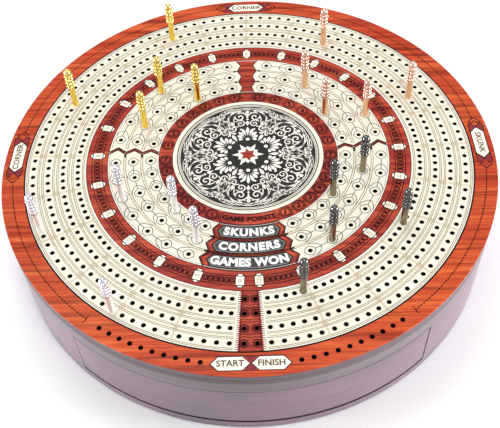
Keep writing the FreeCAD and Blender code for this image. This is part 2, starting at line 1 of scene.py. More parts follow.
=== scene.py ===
import json
import math
import bpy
import mathutils
import numpy as np
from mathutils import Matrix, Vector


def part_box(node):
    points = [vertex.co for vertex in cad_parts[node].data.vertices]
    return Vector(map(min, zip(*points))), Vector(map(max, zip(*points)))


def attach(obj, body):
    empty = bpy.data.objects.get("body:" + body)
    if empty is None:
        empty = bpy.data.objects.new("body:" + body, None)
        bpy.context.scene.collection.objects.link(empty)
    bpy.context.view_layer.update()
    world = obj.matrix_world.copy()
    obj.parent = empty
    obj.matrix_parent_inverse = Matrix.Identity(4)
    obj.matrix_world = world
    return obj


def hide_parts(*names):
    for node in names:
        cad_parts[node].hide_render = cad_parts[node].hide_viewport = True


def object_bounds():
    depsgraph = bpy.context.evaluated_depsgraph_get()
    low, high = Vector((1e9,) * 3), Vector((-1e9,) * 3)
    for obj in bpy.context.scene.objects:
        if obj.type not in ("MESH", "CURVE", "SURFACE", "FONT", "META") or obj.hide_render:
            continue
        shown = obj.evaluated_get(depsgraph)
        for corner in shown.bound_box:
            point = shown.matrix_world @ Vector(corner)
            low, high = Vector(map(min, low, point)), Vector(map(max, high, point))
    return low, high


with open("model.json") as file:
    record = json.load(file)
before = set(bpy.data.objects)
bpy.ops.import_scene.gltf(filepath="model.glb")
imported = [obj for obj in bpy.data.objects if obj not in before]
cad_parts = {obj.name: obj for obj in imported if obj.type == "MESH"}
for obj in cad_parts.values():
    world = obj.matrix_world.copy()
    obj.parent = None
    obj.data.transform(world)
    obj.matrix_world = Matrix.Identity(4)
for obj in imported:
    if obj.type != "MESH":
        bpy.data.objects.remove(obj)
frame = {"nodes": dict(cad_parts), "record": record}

# Looks of a round inlaid cribbage board: woods, engraved lines, lettering and beaded metal pegs.
cadLow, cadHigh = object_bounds()
nodes = frame["nodes"]
slotOf = {part["node"]: part["material_slot"] for part in frame["record"]["subparts"]}
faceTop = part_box("rim_ring")[1].z
share = (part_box("core_board")[1].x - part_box("core_board")[0].x) / 2  # the outer radius; widths are shares of it
mm = 0.001
print("frame loaded, board radius", round(share, 4), "face at", round(faceTop, 4))

tracks = {"first": 0.6953, "pitch": 0.06013, "count": 4, "groupFirst": 10.57, "groupPitch": 14.73, "groups": 24}
lanes = {"first": 0.398, "pitch": 0.07147, "count": 3, "inner": 0.366, "outer": 0.574, "holes": 7,
         "lowerFirst": 24.8, "lowerStep": 10.45, "upperFirst": 101.2, "upperStep": 11.57}
borders = {"rim": 0.9088, "track": 0.6613, "sector": 0.574, "lane": 0.366, "disc": 0.308}
trackRadii = [(tracks["first"] + k * tracks["pitch"]) * share for k in range(tracks["count"])]
arcStep = 1.5
lastStep = 360 - arcStep  # where a closed circle's last point stands


# flat geometry, all as whole arrays

def polar(radius, degrees):
    # a point at an angle from -Y, positive towards +X: (r sin a, -r cos a)
    angle = np.radians(degrees)
    return np.stack(np.broadcast_arrays(radius * np.sin(angle), -radius * np.cos(angle)), -1)


def arc(radius, start, end, step=arcStep):
    # points on a circle from start to end, about one step apart
    count = max(2, int(abs(end - start) / step) + 1)
    return polar(np.full(count, radius), np.linspace(start, end, count))


def loop(centre, radius, sides):
    # a small whole circle about a centre, with evenly spaced points
    return np.asarray(centre) + arc(radius, 0, 360 - 360 / sides, 360 / sides)


def turned(points, degrees):
    # rotate about the middle: x cos - y sin, x sin + y cos
    c, s = math.cos(math.radians(degrees)), math.sin(math.radians(degrees))
    x, y = points[:, 0], points[:, 1]
    return np.stack([x * c - y * s, x * s + y * c], -1)


def alongLane(radius, degrees, across, outward):
    # a point given from a place on a circle: arc length across, then outward
    return polar(radius + outward, degrees + np.degrees(across / radius))


def beside(radius, degrees, across, outward):
    # the same in a straight frame that stands on the circle: r sin a + u cos a, -r cos a + u sin a
    a = math.radians(degrees)
    reach = radius + np.asarray(outward, float)
    across = np.asarray(across, float)
    return np.stack(np.broadcast_arrays(reach * math.sin(a) + across * math.cos(a),
                                        -reach * math.cos(a) + across * math.sin(a)), -1)


def spots(place, radius, degrees, pairs, aside=1, up=1):
    # pairs of across and outward lengths in mm, put on the board by alongLane or beside
    across, outward = np.array(pairs, float).T * mm
    return place(radius, degrees, aside * across, up * outward)


def diamond(wide, high):
    # pairs for the four corners, half as wide and half as high as the whole
    return [(-wide, 0), (0, high), (wide, 0), (0, -high)]


def mirrored(points):
    # the same path on the other side: x becomes -x, run backwards
    return points[::-1] * np.array([-1.0, 1.0])


def rowEdge(row):
    # edges of the three lanes and of the three label rows, counted outwards
    return (lanes["inner"] + row * (lanes["outer"] - lanes["inner"]) / lanes["count"]) * share


class Relief:
    # collects thin raised shapes that share one height and one material
    def __init__(self, rise, sink=0.15, widen=1.45):
        self.widen = widen
        self.top = faceTop + rise * mm
        self.bottom = faceTop - sink * mm
        self.points, self.faces, self.count = [], [], 0

    def add(self, points, faces):
        self.points.append(points)
        self.faces += [[corner + self.count for corner in face] for face in faces]
        self.count += len(points)

    def between(self, left, right, closed=False):
        # a band between two curves of equal length: four corners at each station, joined by quads
        count = len(left)
        station = np.zeros((count, 4, 3))
        station[:, 0, :2], station[:, 3, :2] = left, left
        station[:, 1, :2], station[:, 2, :2] = right, right
        station[:, :2, 2], station[:, 2:, 2] = self.top, self.bottom
        here = np.arange(count if closed else count - 1)
        ahead = (here + 1) % count
        faces = np.concatenate([np.stack([4 * here + a, 4 * here + b, 4 * ahead + b, 4 * ahead + a], -1)
                                for a, b in ((0, 1), (1, 2), (2, 3), (3, 0))])
        if not closed:
            last = 4 * (count - 1)
            faces = np.concatenate([faces, [[0, 3, 2, 1]], [[last + 1, last + 2, last + 3, last]]])
        self.add(station.reshape(-1, 3), faces.tolist())

    def line(self, path, width, closed=False):
        # a band of even width in mm: each corner's mitre is (n1 + n2) / (1 + n1.n2), and 0.35 limits its reach
        path = np.asarray(path, float)
        ahead = np.roll(path, -1, 0) - path
        if not closed:
            ahead[-1] = ahead[-2]
        ahead /= np.linalg.norm(ahead, axis=1, keepdims=True) + 1e-12
        normal = np.stack([-ahead[:, 1], ahead[:, 0]], -1)
        before = np.roll(normal, 1, 0)
        if not closed:
            before[0] = normal[0]
        mitre = (normal + before) / np.maximum(1 + (normal * before).sum(1, keepdims=True), 0.35)
        half = width * mm * self.widen / 2
        self.between(path + mitre * half, path - mitre * half, closed)

    def circle(self, radius, width):
        self.line(arc(radius, 0, lastStep), width, True)

    def ring(self, centre, radius, width, sides=20):
        self.line(loop(centre, radius * mm, sides), width, True)

    def shape(self, outline):
        # a filled outline, turned anticlockwise first
        x, y = outline[:, 0], outline[:, 1]
        if (x * np.roll(y, -1) - y * np.roll(x, -1)).sum() < 0:
            outline = outline[::-1]
        count = len(outline)
        points = np.zeros((2 * count, 3))
        points[:count, :2], points[count:, :2] = outline, outline
        points[:count, 2], points[count:, 2] = self.top, self.bottom
        here = np.arange(count)
        ahead = (here + 1) % count
        sides = np.stack([here, here + count, ahead + count, ahead], -1).tolist()
        self.add(points, [here.tolist(), (here[::-1] + count).tolist()] + sides)

    def text(self, words, size, place, bold=0.0, spacing=1.0):
        # letters from the built-in font, moved by place(x, y), which gives x and y on the board
        curve = bpy.data.curves.new("letters", "FONT")
        curve.body, curve.size, curve.offset = words, size * mm, bold * size * mm
        curve.align_x, curve.align_y = "CENTER", "CENTER"
        curve.resolution_u, curve.space_character = 3, spacing
        curve.extrude = (self.top - self.bottom) / 2
        holder = bpy.data.objects.new("letters", curve)
        bpy.context.scene.collection.objects.link(holder)
        bpy.context.view_layer.update()
        mesh = bpy.data.meshes.new_from_object(holder)
        points = np.zeros(len(mesh.vertices) * 3)
        mesh.vertices.foreach_get("co", points)
        points = points.reshape(-1, 3)
        faces = [list(face.vertices) for face in mesh.polygons]
        points[:, :2] = place(points[:, 0], points[:, 1])
        points[:, 2] += (self.top + self.bottom) / 2
        self.add(points, faces)
        bpy.data.objects.remove(holder)
        bpy.data.curves.remove(curve)
        bpy.data.meshes.remove(mesh)


def finishPiece(name, points, faces, material, body="board", slot=None, smooth=False):
    mesh = bpy.data.meshes.new(name)
    mesh.from_pydata(points.tolist(), [], faces)
    mesh.validate()
    mesh.polygons.foreach_set("use_smooth", [smooth] * len(mesh.polygons))
    piece = bpy.data.objects.new(name, mesh)
    bpy.context.scene.collection.objects.link(piece)
    mesh.materials.append(material)
    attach(piece, body)
    return piece


def raisePiece(name, relief, finish):
    finishPiece(name, np.concatenate(relief.points), relief.faces, finishes[finish])
    print("made", name, len(relief.faces), "faces")


class Value:
    # a socket that takes plus, minus and times: each adds a Math node
    def __init__(self, shade, socket):
        self.shade, self.socket = shade, socket

    def maths(self, operation, first, second):
        return self.shade.node("Math", {"operation": operation}, {0: first, 1: second})

    def __add__(self, other):
        return self.maths("ADD", self, other)

    __radd__ = __add__

    def __sub__(self, other):
        return self.maths("SUBTRACT", self, other)

    def __rsub__(self, other):
        return self.maths("SUBTRACT", other, self)

    def __mul__(self, other):
        return self.maths("MULTIPLY", self, other)

    __rmul__ = __mul__


class Shade:
    # one material and the nodes in it
    def __init__(self, name):
        self.material = bpy.data.materials.new(name)
        self.material.use_nodes = True
        self.tree = self.material.node_tree
        self.tree.nodes.clear()

    def node(self, kind, settings=None, values=None, out=0):
        made = self.tree.nodes.new("ShaderNode" + kind)
        for key, value in (settings or {}).items():
            if key == "stops":
                ramp = made.color_ramp
                while len(ramp.elements) < len(value):
                    ramp.elements.new(0.5)
                for element, (place, colour) in zip(ramp.elements, value):
                    element.position, element.color = place, (*colour, 1)
            else:
                setattr(made, key, value)
        for key, value in (values or {}).items():
            if isinstance(value, Value):
                self.tree.links.new(value.socket, made.inputs[key])
            else:
                made.inputs[key].default_value = value
        return Value(self, made.outputs[out]) if len(made.outputs) else None

    def place(self):
        return self.node("TexCoord", out="Object")

    def axis(self, index):
        return self.node("SeparateXYZ", {}, {"Vector": self.place()}, index)

    def noise(self, scale, size=1.0, detail=4.0, rough=0.55, distort=0.0):
        # noise stretched by a scale for each axis
        stretched = self.node("Mapping", {}, {"Vector": self.place(), "Scale": scale})
        return self.node("TexNoise", {}, {"Vector": stretched, "Scale": size, "Detail": detail,
                                                    "Roughness": rough, "Distortion": distort})

    def ramp(self, value, stops):
        return self.node("ValToRGB", {"stops": stops}, {"Fac": value})

    def step(self, value, low, high):
        # 0 below low, 1 above high, smooth between
        return self.node("MapRange", {"interpolation_type": "SMOOTHSTEP"},
                         {"Value": value, "From Min": low, "From Max": high})

    def inside(self):
        # 0 on the board's outer wall, 1 further in
        flat = self.node("VectorMath", {"operation": "MULTIPLY"}, {0: self.place(), 1: (1, 1, 0)})
        radius = self.node("VectorMath", {"operation": "LENGTH"}, {0: flat}, "Value")
        return 1 - self.step(radius, share - 0.3 * mm, share - 0.12 * mm)

    def mix(self, amount, first, second):
        values = {0: amount, 6: first, 7: second}
        values = {k: (*v, 1) if isinstance(v, tuple) and len(v) == 3 else v for k, v in values.items()}
        return self.node("Mix", {"data_type": "RGBA"}, values, 2)

    def finish(self, colour, rough, bump, strength, distance, **fixed):
        height = {"Height": bump, "Strength": strength, "Distance": distance * mm}
        values = {"Base Color": colour, "Roughness": rough,
                  "Normal": self.node("Bump", {}, height)}
        values.update({key.replace("_", " "): value for key, value in fixed.items()})
        surface = self.node("BsdfPrincipled", {}, values)
        self.node("OutputMaterial", {}, {"Surface": surface})
        return self.material


# each layer of grain: how far it is stretched along and across the streaks, detail, roughness, distortion
grain = {"broad": (1, 1, 5.0, 0.6, 0.6), "fibre": (3, 7, 3.0, 0.6, 0.0), "pores": (5, 14, 2.0, 0.5, 0.0),
         "streak": (0.6, 1.7, 3.0, 0.55, 0.4), "flame": (0.35, 0.2, 3.0, 0.5, 0.5)}
# the two depths in mm and the near-black colour after the flame set painted shade on the walls below the face
woodPlan = {"cloudSize": 14.0, "cloudEdge": (0.3, 0.75), "cloud": 0.18, "streakEdge": 0.09,
            "speckEdge": (0.62, 0.72), "flameEdge": (0.46, 0.64), "flame": 0.55,
            "shadeFrom": 0.12, "shadeTo": 0.45, "shadeTone": (0.012, 0.008, 0.006),
            "sideFrom": 0.8, "sideTo": 1.5, "sideScale": (9, 9, 260), "roughFibre": 0.22, "roughSpeck": 0.1}


def woodMaterial(name, look):
    # streaks along the grain, fine fibres, pores, and painted shade on the walls below the face, darkest in the
    # holes
    shade, plan = Shade(name), woodPlan
    layer = {}
    for kind, (along, across, *rest) in grain.items():
        if kind != "flame" or "flame" in look:
            long, wide, deep = look["grain"]
            layer[kind] = shade.noise((long * along, wide * across, deep * across), 1.0, *rest)
    fibre, pores = layer["fibre"], layer["pores"]
    colour = shade.ramp(layer["broad"] * (1 - look["fine"]) + fibre * look["fine"], look["tones"])
    streak = shade.step(layer["streak"], look["streakFrom"], look["streakFrom"] + plan["streakEdge"])
    colour = shade.mix(streak * look["streak"], colour, look["dark"])
    speck = shade.step(pores, *plan["speckEdge"])
    colour = shade.mix(speck * look["pore"], colour, look["dark"])
    cloud = shade.step(shade.noise((1, 1, 1), plan["cloudSize"], 2.0, 0.5), *plan["cloudEdge"])
    colour = shade.mix(cloud * plan["cloud"], colour, look["tones"][-1][1])
    if "flame" in look:
        flame = shade.step(layer["flame"], *plan["flameEdge"])
        colour = shade.mix(flame * plan["flame"], colour, look["flame"])
    if "shadedBelow" in look:
        # painted shade: walls sunk below the face, such as the hole walls, turn near black, while the outer wall
        # keeps its colour
        depth, inside = look["shadedBelow"] - shade.axis(2), shade.inside()
        under = shade.step(depth, plan["shadeFrom"] * mm, plan["shadeTo"] * mm)
        colour = shade.mix(under * inside, colour, plan["shadeTone"])
        if "side" in look:
            sideTone = shade.ramp(shade.noise(plan["sideScale"], 1.0, 4.0, 0.55, 0.3), look["side"])
            lower = shade.step(depth, plan["sideFrom"] * mm, plan["sideTo"] * mm)
            colour = shade.mix(lower * (1 - inside), colour, sideTone)
    rough = look["rough"] + (fibre - 0.5) * plan["roughFibre"] + speck * plan["roughSpeck"]
    height = fibre * 0.6 + pores * 0.4 - speck * 0.5
    return shade.finish(colour, rough, height, look["bump"], 0.12, Coat_Weight=0.02, Coat_Roughness=0.3,
                        Specular_IOR_Level=0.12)


# the near-black colour, and the top, low and right depths in mm, set painted shade on hidden tops and along the
# drawer front's gap
sidePlan = {"band": (7, 7, 240), "fibre": (40, 40, 1500), "blush": (1, 1, 1.6), "blushSize": 17.0,
            "blushEdge": (0.42, 0.7), "blushAmount": 0.4, "cloud": (1, 1, 2.2), "cloudSize": 9.0,
            "poreEdge": (0.6, 0.74), "shadeTone": (0.01, 0.007, 0.006), "topFrom": 0.5, "topTo": 0.1,
            "lowFrom": 0.45, "lowTo": 0.8, "rightFrom": 0.75, "rightTo": 0.45}


def sideMaterial(name, look):
    # the turned side: fine level streaks that run round the board, with a soft satin sheen
    shade, plan = Shade(name), sidePlan
    band = shade.noise(plan["band"], 1.0, 5.0, 0.55, 0.3)
    fibre = shade.noise(plan["fibre"], 1.0, 3.0, 0.6)
    blush = shade.noise(plan["blush"], plan["blushSize"], 3.0, 0.5, 0.6)
    cloud = shade.noise(plan["cloud"], plan["cloudSize"], 2.0, 0.5)
    colour = shade.ramp(band * 0.62 + fibre * 0.2 + cloud * 0.18, look["tones"])
    colour = shade.mix(shade.step(blush, *plan["blushEdge"]) * plan["blushAmount"], colour, look["blush"])
    colour = shade.mix(shade.step(fibre, *plan["poreEdge"]) * look["pore"], colour, look["dark"])
    if "shadedTop" in look:
        # painted shade: the top is darkened to near black where it isn't part of the outer wall, for the shade in
        # the gap under the drawer and at the bottom of the holes
        top = look["shadedTop"]
        under = shade.step(shade.axis(2), top - plan["topFrom"] * mm, top - plan["topTo"] * mm)
        colour = shade.mix(under * shade.inside(), colour, plan["shadeTone"])
    if "edges" in look:
        # painted shadow: the lower and right edges of a piece, given by its own box, are darkened to near black for
        # the shade in the gap round the drawer
        low, high = look["edges"]
        lower = 1 - shade.step(shade.axis(2), low.z + plan["lowFrom"] * mm, low.z + plan["lowTo"] * mm)
        right = shade.step(shade.axis(0), high.x - plan["rightFrom"] * mm, high.x - plan["rightTo"] * mm)
        colour = shade.mix(right, shade.mix(lower, colour, plan["shadeTone"]), plan["shadeTone"])
    rough = look["rough"] + (fibre - 0.5) * 0.2 + (cloud - 0.5) * 0.1
    return shade.finish(colour, rough, fibre * 0.7 + band * 0.3, look["bump"], 0.1,
                        Coat_Weight=look["coat"], Coat_Roughness=0.28)


def lineMaterial(name, colour, rough=0.6, vary=0.35):
    # burnt or inlaid lines: the colour drifts a little and the surface is matt
    shade = Shade(name)
    drift = shade.noise((1, 1, 1), 420.0, 3.0, 0.6)
    fine = shade.noise((1, 1, 1), 2600.0, 2.0, 0.6)
    light = tuple(min(1.0, c * (1 + vary)) for c in colour)
    tone = shade.mix(shade.step(drift, 0.3, 0.7), colour, light)
    return shade.finish(tone, rough + (fine - 0.5) * 0.2, fine, 0.25, 0.05, Specular_IOR_Level=0.12)


def metalMaterial(name, colour, rough, dark, shank=None, shankRough=0.0):
    # polished metal: slight haze, tiny scratches, darker tarnish in patches, and a plainer shank
    shade = Shade(name)
    haze = shade.noise((1, 1, 1), 260.0, 3.0, 0.5)
    scratch = shade.noise((1, 1, 0.12), 3800.0, 2.0, 0.6)
    tone = shade.mix(shade.step(haze, 0.42, 0.72) * 0.35, colour, dark)
    if shank:
        height = shade.axis(2) + (haze - 0.5) * 3 * mm
        above = shade.step(height, faceTop + 12.5 * mm, faceTop + 15 * mm)
        tone = shade.mix(above, shank, tone)
        rough = (1 - above) * shankRough + rough
    return shade.finish(tone, (haze - 0.5) * 0.1 + rough, scratch, 0.1, 0.02, Metallic=1.0)


def feltMaterial(name, colour):
    # pressed felt: fine fluff in tone and in height
    shade = Shade(name)
    fluff = shade.noise((1, 1, 1), 1500.0, 6.0, 0.75)
    tone = shade.mix(fluff, tuple(c * 0.5 for c in colour), tuple(c * 1.8 for c in colour))
    return shade.finish(tone, 0.9 + (fluff - 0.5) * 0.1, fluff, 0.9, 0.3, Sheen_Weight=0.4)


mauve = [(0.3, (0.112, 0.068, 0.092)), (0.5, (0.160, 0.104, 0.138)), (0.7, (0.225, 0.160, 0.202))]
slate = [(0.3, (0.095, 0.070, 0.077)), (0.5, (0.135, 0.104, 0.113)), (0.7, (0.19, 0.15, 0.16))]
# the face height in each look is where the painted shade on the walls below the face begins
woods = {
    "rim_wood": {
        "grain": (14, 190, 190), "fine": 0.35, "flame": (0.40, 0.026, 0.014), "streak": 0.72,
        "streakFrom": 0.53, "pore": 0.5, "dark": (0.17, 0.013, 0.007), "rough": 0.42, "bump": 0.25,
        "shadedBelow": faceTop, "side": slate,
        "tones": [(0.36, (0.28, 0.020, 0.008)), (0.5, (0.53, 0.064, 0.018)), (0.66, (0.72, 0.16, 0.042))]},
    "red_wood": {
        "grain": (14, 190, 190), "fine": 0.35, "flame": (0.20, 0.010, 0.014), "streak": 0.6,
        "streakFrom": 0.57, "pore": 0.5, "dark": (0.07, 0.006, 0.005), "rough": 0.42, "bump": 0.25,
        "shadedBelow": faceTop,
        "tones": [(0.37, (0.17, 0.012, 0.009)), (0.5, (0.35, 0.033, 0.020)), (0.63, (0.60, 0.105, 0.042))]},
    "maple": {
        "grain": (10, 120, 120), "fine": 0.4, "streak": 0.22, "streakFrom": 0.6, "pore": 0.12,
        "dark": (0.60, 0.50, 0.36), "rough": 0.48, "bump": 0.15, "shadedBelow": faceTop,
        "tones": [(0.3, (0.72, 0.67, 0.53)), (0.5, (0.79, 0.75, 0.63)), (0.7, (0.86, 0.83, 0.73))]},
    "ivory_wood": {
        "grain": (18, 160, 160), "fine": 0.4, "streak": 0.15, "streakFrom": 0.6, "pore": 0.1,
        "dark": (0.62, 0.52, 0.36), "rough": 0.48, "bump": 0.12, "shadedBelow": faceTop,
        "tones": [(0.3, (0.84, 0.78, 0.63)), (0.5, (0.90, 0.86, 0.73)), (0.7, (0.95, 0.92, 0.82))]},
    "dark_panel": {
        "grain": (20, 220, 220), "fine": 0.4, "streak": 0.3, "streakFrom": 0.6, "pore": 0.3,
        "dark": (0.01, 0.01, 0.01), "rough": 0.5, "bump": 0.2, "shadedBelow": faceTop,
        "tones": [(0.3, (0.030, 0.029, 0.028)), (0.5, (0.050, 0.048, 0.047)), (0.7, (0.085, 0.08, 0.078))]},
    "drawer_wood": {
        "grain": (180, 10, 180), "fine": 0.4, "streak": 0.3, "streakFrom": 0.58, "pore": 0.35,
        "dark": (0.22, 0.11, 0.06), "rough": 0.55, "bump": 0.3,
        "tones": [(0.3, (0.40, 0.24, 0.15)), (0.5, (0.50, 0.33, 0.22)), (0.7, (0.60, 0.42, 0.30))]}}
sideLook = {"tones": mauve, "blush": (0.30, 0.15, 0.19), "dark": (0.12, 0.07, 0.075), "pore": 0.35,
            "rough": 0.36, "bump": 0.22, "coat": 0.25}
# painted shade on the tops of the base plate and core board, and painted shadow on the drawer front's lower and
# right edges
sides = {"case_wood": {}, "base_wood": {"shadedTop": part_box("base_plate")[1].z},
         "front_wood": {"edges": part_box("drawer_front")},
         "core_wood": {"tones": slate, "blush": (0.17, 0.12, 0.145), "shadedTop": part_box("core_board")[1].z}}
# colour, roughness, tarnish, then the shank's colour and added roughness
metals = {"screw_steel": ((0.62, 0.60, 0.56), 0.34, (0.30, 0.29, 0.27)),
          "magnet_metal": ((0.75, 0.74, 0.70), 0.2, (0.45, 0.44, 0.40)),
          "brass": ((0.96, 0.72, 0.22), 0.2, (0.72, 0.45, 0.10), (0.98, 0.70, 0.12)),
          "copper": ((0.93, 0.62, 0.50), 0.22, (0.72, 0.40, 0.28), (0.90, 0.55, 0.33)),
          "black_metal": ((0.15, 0.145, 0.15), 0.15, (0.06, 0.06, 0.06), (0.30, 0.26, 0.17)),
          "silver_metal": ((0.86, 0.88, 0.98), 0.16, (0.68, 0.70, 0.84), (0.92, 0.91, 0.90), 0.4)}
# colour, then roughness and how much the colour drifts
inks = {"burnt": ((0.085, 0.045, 0.02),), "pale_burn": ((0.36, 0.27, 0.16),),
        "black_line": ((0.004, 0.003, 0.003),), "dark_red": ((0.016, 0.002, 0.003),),
        "ground": ((0.022, 0.021, 0.020),), "white_letter": ((0.86, 0.85, 0.82), 0.5, 0.08),
        "pale_scroll": ((0.84, 0.81, 0.72), 0.5, 0.12), "track_burn": ((0.17, 0.105, 0.045), 0.6, 0.2),
        "group_burn": ((0.36, 0.25, 0.12), 0.6, 0.2), "lane_burn": ((0.16, 0.10, 0.045), 0.6, 0.2),
        "grey_burn": ((0.045, 0.04, 0.032), 0.6, 0.3), "cream_band": ((0.76, 0.72, 0.58), 0.55, 0.08),
        "white_line": ((0.85, 0.83, 0.78), 0.55, 0.06), "warm_red": ((0.40, 0.06, 0.03), 0.5, 0.3),
        "ribbon_red": ((0.20, 0.025, 0.03), 0.5, 0.4), "grey_hatch": ((0.16, 0.155, 0.15), 0.6, 0.5)}
finishes = {"felt": feltMaterial("felt", (0.03, 0.03, 0.033)),
            **{name: woodMaterial(name, look) for name, look in woods.items()},
            **{name: sideMaterial(name, {**sideLook, **change}) for name, change in sides.items()},
            **{name: metalMaterial(name, *plan) for name, plan in metals.items()},
            **{name: lineMaterial(name, *plan) for name, plan in inks.items()}}
print("made", len(finishes), "finishes")


def dressNodes():
    # every CAD node that stays visible takes its slot's finish
    own = {"core_board": "core_wood", "base_plate": "base_wood", "drawer_front": "front_wood"}
    for name, piece in nodes.items():
        piece.data.materials.clear()
        piece.data.materials.append(finishes[own.get(name, slotOf[name])])
    print("dressed", len(nodes), "nodes")


pegLook = {"pin": 1.35, "pinBevel": 0.25, "foot": 2.05, "footBevel": 0.12, "footTop": 0.7, "shank": 1.85,
           "shankFrom": 1.0, "shankTop": 14.5, "neck": (0.9, 0.5), "grip": 1.9, "gripGap": 0.05,
           "bead": 0.8, "beadFill": 0.96, "rows": 4, "columns": 8, "ringsPerRow": 9, "capStart": 25.6,
           "capRadius": 2.45, "capBevel": (0.1, 0.25), "capEdge": 0.35, "domeFrom": 1.0, "sides": 80}


def makePeg(node, metal):
    # radius is a function of angle and height: a turned profile, with domed beads on the grip
    low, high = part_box(node)
    centre = ((low.x + high.x) / 2, (low.y + high.y) / 2)
    p = pegLook
    top, bottom = (high.z - faceTop) / mm, (low.z - faceTop) / mm
    shankTop, capStart = p["shankTop"], p["capStart"]
    stations = [
        (bottom, p["pin"] - p["pinBevel"]), (bottom + p["pinBevel"], p["pin"]), (0.0, p["pin"]),
        (0.0, p["foot"] - p["footBevel"]), (p["footBevel"], p["foot"]), (p["footTop"], p["foot"]),
        (p["shankFrom"], p["shank"]), (4.5, p["shank"]), (9.0, p["shank"]),
        (shankTop - p["neck"][0], p["shank"]), (shankTop - p["neck"][1], p["grip"]), (shankTop, p["grip"])]
    rings = np.linspace(shankTop + p["gripGap"], capStart - p["gripGap"], p["rows"] * p["ringsPerRow"])
    stations += [(z, p["grip"]) for z in rings]
    stations += [(capStart, p["grip"]), (capStart + p["capBevel"][0], p["capRadius"] - p["capBevel"][1]),
                 (capStart + p["capEdge"], p["capRadius"])]
    dome = np.linspace(0, math.pi / 2, 12)[:-1]
    domeRise = top - capStart - p["domeFrom"]
    stations += [(capStart + p["domeFrom"] + domeRise * math.sin(a), p["capRadius"] * math.cos(a))
                 for a in dome]
    height, radius = np.array(stations)[:, :1], np.array(stations)[:, 1:]
    angle = np.linspace(0, 2 * math.pi, p["sides"], endpoint=False)[None, :]
    row = (height - shankTop) / ((capStart - shankTop) / p["rows"])
    across = np.abs(((angle / (2 * math.pi) * p["columns"]) % 1) - 0.5) * 2 / p["beadFill"]
    along = np.abs((row % 1) - 0.5) * 2 / p["beadFill"]
    # a bead is the upper part of a ball: sqrt(1 - across^2 - along^2)
    swell = np.sqrt(np.clip(1 - across ** 2 - along ** 2, 0, 1)) * ((row > 0) & (row < p["rows"]))
    shaped = (radius + p["bead"] * swell) * mm
    points = np.stack([centre[0] + shaped * np.sin(angle), centre[1] - shaped * np.cos(angle),
                       np.broadcast_to(faceTop + height * mm, shaped.shape)], -1)
    count, around = shaped.shape
    ring = np.arange(count - 1)[:, None] * around
    side = np.arange(around)[None, :]
    ahead = (side + 1) % around
    quads = np.stack([ring + side, ring + ahead, ring + around + ahead, ring + around + side], -1)
    lastRing = (count - 1) * around
    faces = quads.reshape(-1, 4).tolist()
    faces += [list(range(around))[::-1], list(range(lastRing, lastRing + around))]
    piece = finishPiece(node + "_turned", points.reshape(-1, 3), faces, finishes[metal], node, metal, True)
    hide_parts(node)


trackLines = {"line": 0.2, "near": 2.8, "far": 3.7, "edge": 0.8, "start": 3.95, "bandGap": 0.1, "twin": 0.33,
              "twinLine": 0.12, "diamond": (0.6, 0.78), "diamondLine": 0.2, "hookLine": 0.16,
              "hook": ((0.33, 1.75), (0.9, 1.1), (1.0, 0.55), (1.9, 0.55))}


def makeTrackLines():
    # two fine circles on each side of a track, a cream band between tracks, kinked lines between groups
    fine, band, cross = Relief(0.03), Relief(0.015), Relief(0.035)
    p = trackLines
    start, end = p["start"], 360 - p["start"]
    lowest, highest = (borders["track"] * share + p["edge"] * mm, borders["rim"] * share - p["edge"] * mm)
    for radius in trackRadii:
        for offset in (-p["far"], -p["near"], p["near"], p["far"]):
            spot = radius + offset * mm
            if lowest < spot < highest:
                fine.line(arc(spot, start, end), p["line"])
    halfPitch = tracks["pitch"] * share / 2
    gaps = [radius + halfPitch for radius in trackRadii[:-1]]
    halfBand = halfPitch - (p["far"] + p["bandGap"]) * mm
    for radius in gaps:
        band.between(arc(radius - halfBand, start, end), arc(radius + halfBand, start, end))
    for k in range(1, tracks["groups"]):
        angle = tracks["groupFirst"] + (k - 0.5) * tracks["groupPitch"]
        for radius in trackRadii:
            for aside in (-p["twin"], p["twin"]):
                cross.line(spots(alongLane, radius, angle, [(aside, -p["near"]), (aside, p["near"])]),
                           p["twinLine"])
        for radius in gaps:
            cross.line(spots(alongLane, radius, angle, diamond(*p["diamond"])), p["diamondLine"], True)
            for side in (-1, 1):
                for up in (-1, 1):
                    cross.line(spots(alongLane, radius, angle, p["hook"], side, up), p["hookLine"])
    raisePiece("track_lines", fine, "track_burn")
    raisePiece("track_bands", band, "cream_band")
    raisePiece("group_lines", cross, "group_burn")


borderLines = {"rim": 0.6, "rimInset": 0.75, "rimWhite": 0.2, "joint": 0.28, "white": 0.32, "spineClear": 3.9,
               "whites": {"track": 0.38, "sector": -0.38, "lane": 0.35, "disc": -0.3},
               "discRings": {0.289: 0.42, 0.2815: 0.2}}


def makeBorders():
    # black and white lines where two woods meet
    black, white = Relief(0.04), Relief(0.045)
    p = borderLines
    rim, clear = borders["rim"] * share, p["spineClear"]
    black.circle(rim, p["rim"])
    white.line(arc(rim - p["rimInset"] * mm, clear, 360 - clear), p["rimWhite"])
    for name, offset in p["whites"].items():
        radius = borders[name] * share
        start = clear if name == "track" else 0
        black.circle(radius, p["joint"])
        white.line(arc(radius + offset * mm, start, lastStep - start), p["white"], name != "track")
    for place, width in p["discRings"].items():
        black.circle(place * share, width)
    raisePiece("border_lines", black, "black_line")
    raisePiece("border_whites", white, "white_line")


spine = {"half": 3.15, "ring": 2.35, "ringLine": 0.3, "innerRing": 0.76, "innerLine": 0.16, "holeAngle": 1.55,
         "toothPitch": 1.32, "toothEnd": 0.9, "whiteTooth": ((0.1, -0.5), (0.1, 0.5), (-1.0, 0.0)),
         "darkTooth": ((-0.1, -0.45), (-0.1, 0.45), (0.75, 0.0)), "edgeInset": 1.5, "edgeLine": 0.26,
         "waveInset": 0.35, "bend": 0.28, "waveShift": 0.75, "waveWide": 0.7, "waveLine": 0.25}


